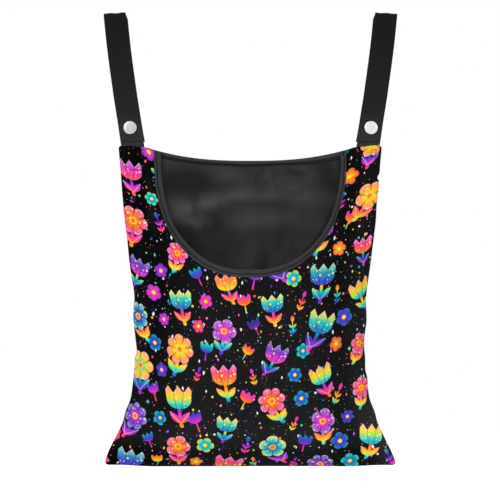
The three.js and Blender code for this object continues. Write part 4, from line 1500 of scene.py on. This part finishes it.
def print_nodes():
    """The cloth's all-over print on black: flowers, sprigs, dots and small diamonds."""
    tree, given, result = group(
        "garden_print", [("Place", "Vector"), ("Ground", "Color")], [("Color", "Color"), ("Ink", "Float")]
    )
    x, y, _ = parted(tree, given["Place"])
    grain = noise_value(tree, given["Place"], 0.9, 4.0, 0.7).step(0.35, 0.75)
    laid = scaled(tree, given["Ground"], grain * 0.9 + 0.55)
    laid = with_diamonds(tree, x, y, with_dust(tree, x, y, laid))
    laid, small = with_small_motifs(tree, x, y, laid)
    laid, large = with_large_flowers(tree, x, y, laid)
    feed(tree, result["Color"], laid)
    feed(tree, result["Ink"], large.either(small))
    return tree


def weave_nodes():
    """Plain weave: over and under by the thread, with threads of slightly different thickness."""
    tree, given, result = group(
        "plain_weave",
        [("Place", "Vector"), ("Across", "Float"), ("Along", "Float")],
        [("Height", "Float"), ("Shade", "Float")],
    )
    x, y, _ = parted(tree, given["Place"])
    u, v = x / Value(tree, given["Across"]), y / Value(tree, given["Along"])
    warp, weft = abs((u * math.pi).math("SINE")), abs((v * math.pi).math("SINE"))
    checker = (u.floor() + v.floor()).is_odd()
    over, under = warp**0.7 * (weft * 0.6 + 0.4), weft**0.7 * (warp * 0.6 + 0.4)
    height = over * checker + under * (1 - checker)
    noise = noise_value(tree, given["Place"], 0.7, 5.0)
    feed(tree, result["Height"], height * 0.85 + noise * 0.3)
    # The shade is painted shade where the threads dip, with tone that differs at random.
    feed(tree, result["Shade"], (height - 0.5) * 0.14 + (noise - 0.5) * 0.2 + 1)
    return tree


# Materials

def material(name, plain):
    """A material, its node tree and its Principled shader. plain has what its sockets are set to."""
    made = bpy.data.materials.new(name)
    made.use_nodes = True
    tree = made.node_tree
    shader = next(node for node in tree.nodes if node.type == "BSDF_PRINCIPLED")
    for label, value in plain.items():
        shader.inputs[label].default_value = value
    return made, tree, shader


def painted(tree, shader, base, shade, rough=None):
    feed(tree, shader.inputs["Base Color"], scaled(tree, base, shade))
    if rough is not None:
        feed(tree, shader.inputs["Roughness"], rough)


def bumped(tree, shader, height, distance, strength):
    node = tree.nodes.new("ShaderNodeBump")
    for name, item in (("Distance", distance), ("Strength", strength), ("Height", height)):
        feed(tree, node.inputs[name], item)
    feed(tree, shader.inputs["Normal"], node.outputs[0])


def woven(tree, place, across, along):
    """The weave's height and shade, for threads of a width across and along."""
    threads = placed(tree, weave, Place=place, Across=across, Along=along)
    return Value(tree, threads["Height"]), Value(tree, threads["Shade"])


def printed_cloth():
    made, tree, shader = material("printed_polyester", {"Specular IOR Level": 0.03})
    place = cloth_place(tree)
    # Painted sheen from the piece's attribute lightens the black ground, and the inks a little.
    sheen_level = painted_light_value(tree)
    drawn = placed(tree, garden, Place=place, Ground=scaled(tree, colour("#242426"), sheen_level + 0.03))
    height, shade = woven(tree, place, 0.42, 0.46)
    slub = noise_value(tree, place, 0.05, 3.0)
    shade = shade * (slub * 0.2 + 0.9) * (sheen_level * 0.14 + 0.93)
    painted(tree, shader, drawn["Color"], shade, Value(tree, drawn["Ink"]) * -0.06 + slub * 0.1 + 0.66)
    bumped(tree, shader, height, 0.00006, 0.5)
    return made


def lining_cloth():
    made, tree, shader = material("lining_satin", {"Specular IOR Level": 0.1})
    place = cloth_place(tree)
    height, shade = woven(tree, place, 0.22, 0.3)
    cloud = noise_value(tree, place, 0.017, 2.0)
    crease = noise_value(tree, place, 0.045, 4.0, 0.45)
    # Painted sheen in random clouds, then painted shade in the hollows and behind the mouth's sides and
    # painted light on the ridges, from the piece's attribute.
    shade = shade * (cloud.step(0.3, 0.7) * 0.5 + 0.75) * (1.66 - painted_light_value(tree) * 1.36)
    painted(tree, shader, colour("#2a2a2c"), shade, cloud * 0.16 + 0.42)
    bumped(tree, shader, height * 0.03 + crease, 0.002, 0.5)
    return made


def tape_cloth():
    made, tree, shader = material("binding_cotton", {"Specular IOR Level": 0.16})
    place = cloth_place(tree)
    x, y, _ = parted(tree, place)
    height, shade = woven(tree, place, 0.5, 0.36)
    wear = noise_value(tree, place, 0.35, 4.0)
    streaks = noise_value(tree, joined(tree, x * 1.6, y * 0.06, 0.0), 0.7, 3.0, 0.6)
    shade = shade * (wear * 0.3 + 0.85) * (streaks.step(0.25, 0.75) * 0.6 + 0.7)
    # Painted shade in the grooves and at the folded edges, from the piece's attribute.
    shade = shade * (1 - painted_light_value(tree) * 0.76)
    painted(tree, shader, colour("#323234"), shade, wear * 0.12 + 0.7)
    bumped(tree, shader, height * 0.3 + wear * 0.6 + streaks * 2.0, 0.00014, 0.7)
    return made


def webbing_cloth():
    """Ribbed webbing, with painted shade along its rounded edges, which is darker at the top of the straps
    and lighter towards their foot.
    """
    made, tree, shader = material("webbing_black", {"Specular IOR Level": 0.1})
    place = cloth_place(tree)
    across, _, _ = parted(tree, place)
    height, shade = woven(tree, place, 1.15, 0.9)
    # Painted shade along the webbing's rounded edges.
    edge_shade = abs(across).step(11.3, 12.1)
    ribs = abs((across * (math.pi / 1.15)).math("SINE"))
    fuzz = noise_value(tree, place, 0.9, 5.0, 0.6)
    long_wear = noise_value(tree, place, 0.03, 2.0)
    z = parted(tree, coordinates(tree, "Object"))[2]
    # Darker at the top of the straps and lighter towards their foot.
    lighter_at_foot = 2.7 - z.step(-0.156, -0.1) * 1.75 - z.step(-0.11, 0.0) * 0.52
    shade = shade * (fuzz * 0.5 + 0.75) * (long_wear * 0.3 + 0.85) * (1 - edge_shade * 0.22)
    painted(tree, shader, colour("#1d1d1e"), shade * (ribs * 0.16 + 0.9) * lighter_at_foot, fuzz * 0.12 + 0.74)
    bumped(tree, shader, height + fuzz * 0.3 + ribs * 0.4, 0.00026, 0.8)
    return made


def nickel():
    """Nickel plate, brighter on the right stud than on the left."""
    made, tree, shader = material("nickel_plate", {"Metallic": 1.0})
    place = coordinates(tree, "Object")
    smear, broad = noise_value(tree, place, 900.0, 4.0), noise_value(tree, place, 260.0, 2.0)
    # The right stud is brighter than the left.
    bright = parted(tree, place)[0].step(-0.05, 0.05) * 0.4 + 0.88
    painted(tree, shader, colour("#b3b3b5"), broad * 0.2 + bright, smear * 0.2 + 0.28)
    bumped(tree, shader, smear, 0.00003, 0.6)
    return made


def thread_cotton():
    made, tree, shader = material("thread_black", {"Roughness": 0.6, "Specular IOR Level": 0.12})
    twist = tree.nodes.new("ShaderNodeTexWave")
    for name, item in (("Scale", 900.0), ("Distortion", 1.5), ("Vector", coordinates(tree, "Object"))):
        feed(tree, twist.inputs[name], item)
    strand = Value(tree, twist.outputs[1])
    painted(tree, shader, colour("#0a0a0b"), strand * 0.5 + 0.75)
    bumped(tree, shader, strand, 0.00005, 0.6)
    return made


weave, garden, stitch_nodes = weave_nodes(), print_nodes(), stitch_tree()
finishes = {
    "printed_cloth": printed_cloth(),
    "lining": lining_cloth(),
    "binding_tape": tape_cloth(),
    "webbing": webbing_cloth(),
    "press_stud": nickel(),
    "thread": thread_cotton(),
}


# The stitch lines

THREAD_LEVELS = (-1.22 * MM, 1.16 * MM)  # of the two faces of a tape, in its grooves


def tape_stitches(name, side, place, line, groove):
    x, z = place(line, groove * MM)
    lines = [cloth_points(side, x, z, level, top=None) for level in THREAD_LEVELS]
    return stitches(name, lines, 0.0031, 0.0026, 0.00024)


mouth_line = np.linspace(0.25, COLUMNS - 0.25, 500)
hem_line = np.linspace(-HEM_HALF + 0.002, HEM_HALF - 0.002, 260)
binding_stitches = tape_stitches("mouth_binding_stitches", FRONT, mouth_place, mouth_line, BINDING_GROOVE)
hem_stitches = tape_stitches("top_hem_stitches", BACK, top_place, hem_line, HEM_GROOVE)

# A box of stitches through each shoulder holds the end of the strap.
box_top, box_low = SHOULDER_Z - 0.0045, SHOULDER_Z - TAIL_LENGTH
box_half = WEBBING_WIDTH / 2 - 0.0018
box_lines = []
for word, hand in HANDS:
    corners = [
        (hand * (strap_x(z - SHOULDER_Z) + way * box_half), z)
        for z, way in ((box_top, -1), (box_top, 1), (box_low, 1), (box_low, -1), (box_top, -1))
    ]
    x, z = path_through(*corners, step=0.0008).T
    box_lines += [cloth_points(side, x, z, -CLOTH - 0.00012, top=None) for side in (FRONT, BACK)]
box_stitches = stitches("shoulder_box_stitches", box_lines, 0.0027, 0.0025, 0.00042)


# What each piece is made of, what it rides on and what it stands for

def dressed(obj, slot_name):
    """Gives a piece its finish, which stitches have from their nodes already."""
    if not len(obj.data.materials):
        obj.data.materials.append(finishes[slot_name])


for obj, slot_name, node in (
    (front_panel, "printed_cloth", "front_panel"),
    (back_panel, "printed_cloth", "back_panel"),
    (front_lining, "lining", "front_lining"),
    (back_lining, "lining", "back_lining"),
    (mouth_binding, "binding_tape", "mouth_binding"),
    (top_binding, "binding_tape", "top_binding"),
):
    dressed(obj, slot_name)
    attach(obj, "bag")
    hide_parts(node)
for obj in (binding_stitches, hem_stitches, box_stitches):
    dressed(obj, "binding_tape")
    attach(obj, "bag")

for word, hand in HANDS:
    dressed(straps[word], "webbing")
    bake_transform(straps[word])
    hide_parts(f"strap_{word}", f"strap_tail_{word}")
    dressed(flaps[word], "webbing")
    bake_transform(flaps[word])
    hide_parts(f"flap_{word}")
for (part, word), (obj, body) in studs.items():
    dressed(obj, "press_stud")
    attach(obj, body)
    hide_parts(f"{part}_{word}")


# The room: a pale floor, soft lamps and the photograph's view

WHITE = (1, 1, 1, 1)
FLOOR_GREY = (0.82, 0.82, 0.82, 1)
FLOOR_Z = -1.05
FLOOR_HALF = 9
LOOKED_AT = (0, 0, -0.27)
LAMPS = (  # place, size and power
    ("key", (-1.3, -1.9, 0.75), 1.1, 34),
    ("fill", (1.7, -1.7, 0.1), 1.3, 14),
    ("rim", (0.6, 2.0, 0.9), 1.2, 22),
)
PIXEL = 0.001115  # one of the photograph's pixels, at the bag
MIDDLE_PIXEL = 250
SHOULDER_PIXEL = 148  # the row of pixels where the shoulders are
DISTANCE = 3.0
SENSOR = 36.0


def seen_directly(tree):
    """1 for what the camera, metal and glass see, and 0 for what only lights the bag."""
    path = tree.nodes.new("ShaderNodeLightPath")
    camera_ray, glossy, through = (
        Value(tree, path.outputs[f"Is {kind} Ray"]) for kind in ("Camera", "Glossy", "Transmission")
    )
    return camera_ray.either(glossy).either(through)


world = bpy.data.worlds.new("studio")
bpy.context.scene.world = world
world.use_nodes = True
sky = next(node for node in world.node_tree.nodes if node.type == "BACKGROUND")
sky.inputs["Color"].default_value = WHITE
feed(world.node_tree, sky.inputs["Strength"], seen_directly(world.node_tree) * 0.55 + 0.45)

floor_mesh = bpy.data.meshes.new("floor")
floor_corners = [(x * FLOOR_HALF, y * FLOOR_HALF, FLOOR_Z) for x, y in ((-1, -1), (1, -1), (1, 1), (-1, 1))]
floor_mesh.from_pydata(floor_corners, [], [(0, 1, 2, 3)])
floor = in_scene("floor", floor_mesh)
made, tree, shader = material(
    "pale_floor",
    {"Base Color": FLOOR_GREY, "Roughness": 0.9, "Specular IOR Level": 0.1, "Emission Color": WHITE},
)
feed(tree, shader.inputs["Emission Strength"], seen_directly(tree) * 0.8)
floor_mesh.materials.append(made)

for name, place, size, power in LAMPS:
    data = bpy.data.lights.new(name, "AREA")
    data.shape, data.size, data.energy = "SQUARE", size, power
    lamp = in_scene(name, data)
    lamp.location = place
    lamp.rotation_euler = (Vector(LOOKED_AT) - Vector(place)).to_track_quat("-Z", "Y").to_euler()

camera_data = bpy.data.cameras.new("camera")
camera_data.sensor_width = SENSOR
camera_data.lens = SENSOR / 2 / (MIDDLE_PIXEL * PIXEL / DISTANCE)
camera_data.clip_end = 50.0
camera = in_scene("camera", camera_data)
camera.location = (0, -DISTANCE, SHOULDER_Z - (MIDDLE_PIXEL - SHOULDER_PIXEL) * PIXEL)
camera.rotation_euler = (math.radians(90), 0, 0)
bpy.context.scene.camera = camera
bpy.context.scene.view_settings.view_transform = "Standard"
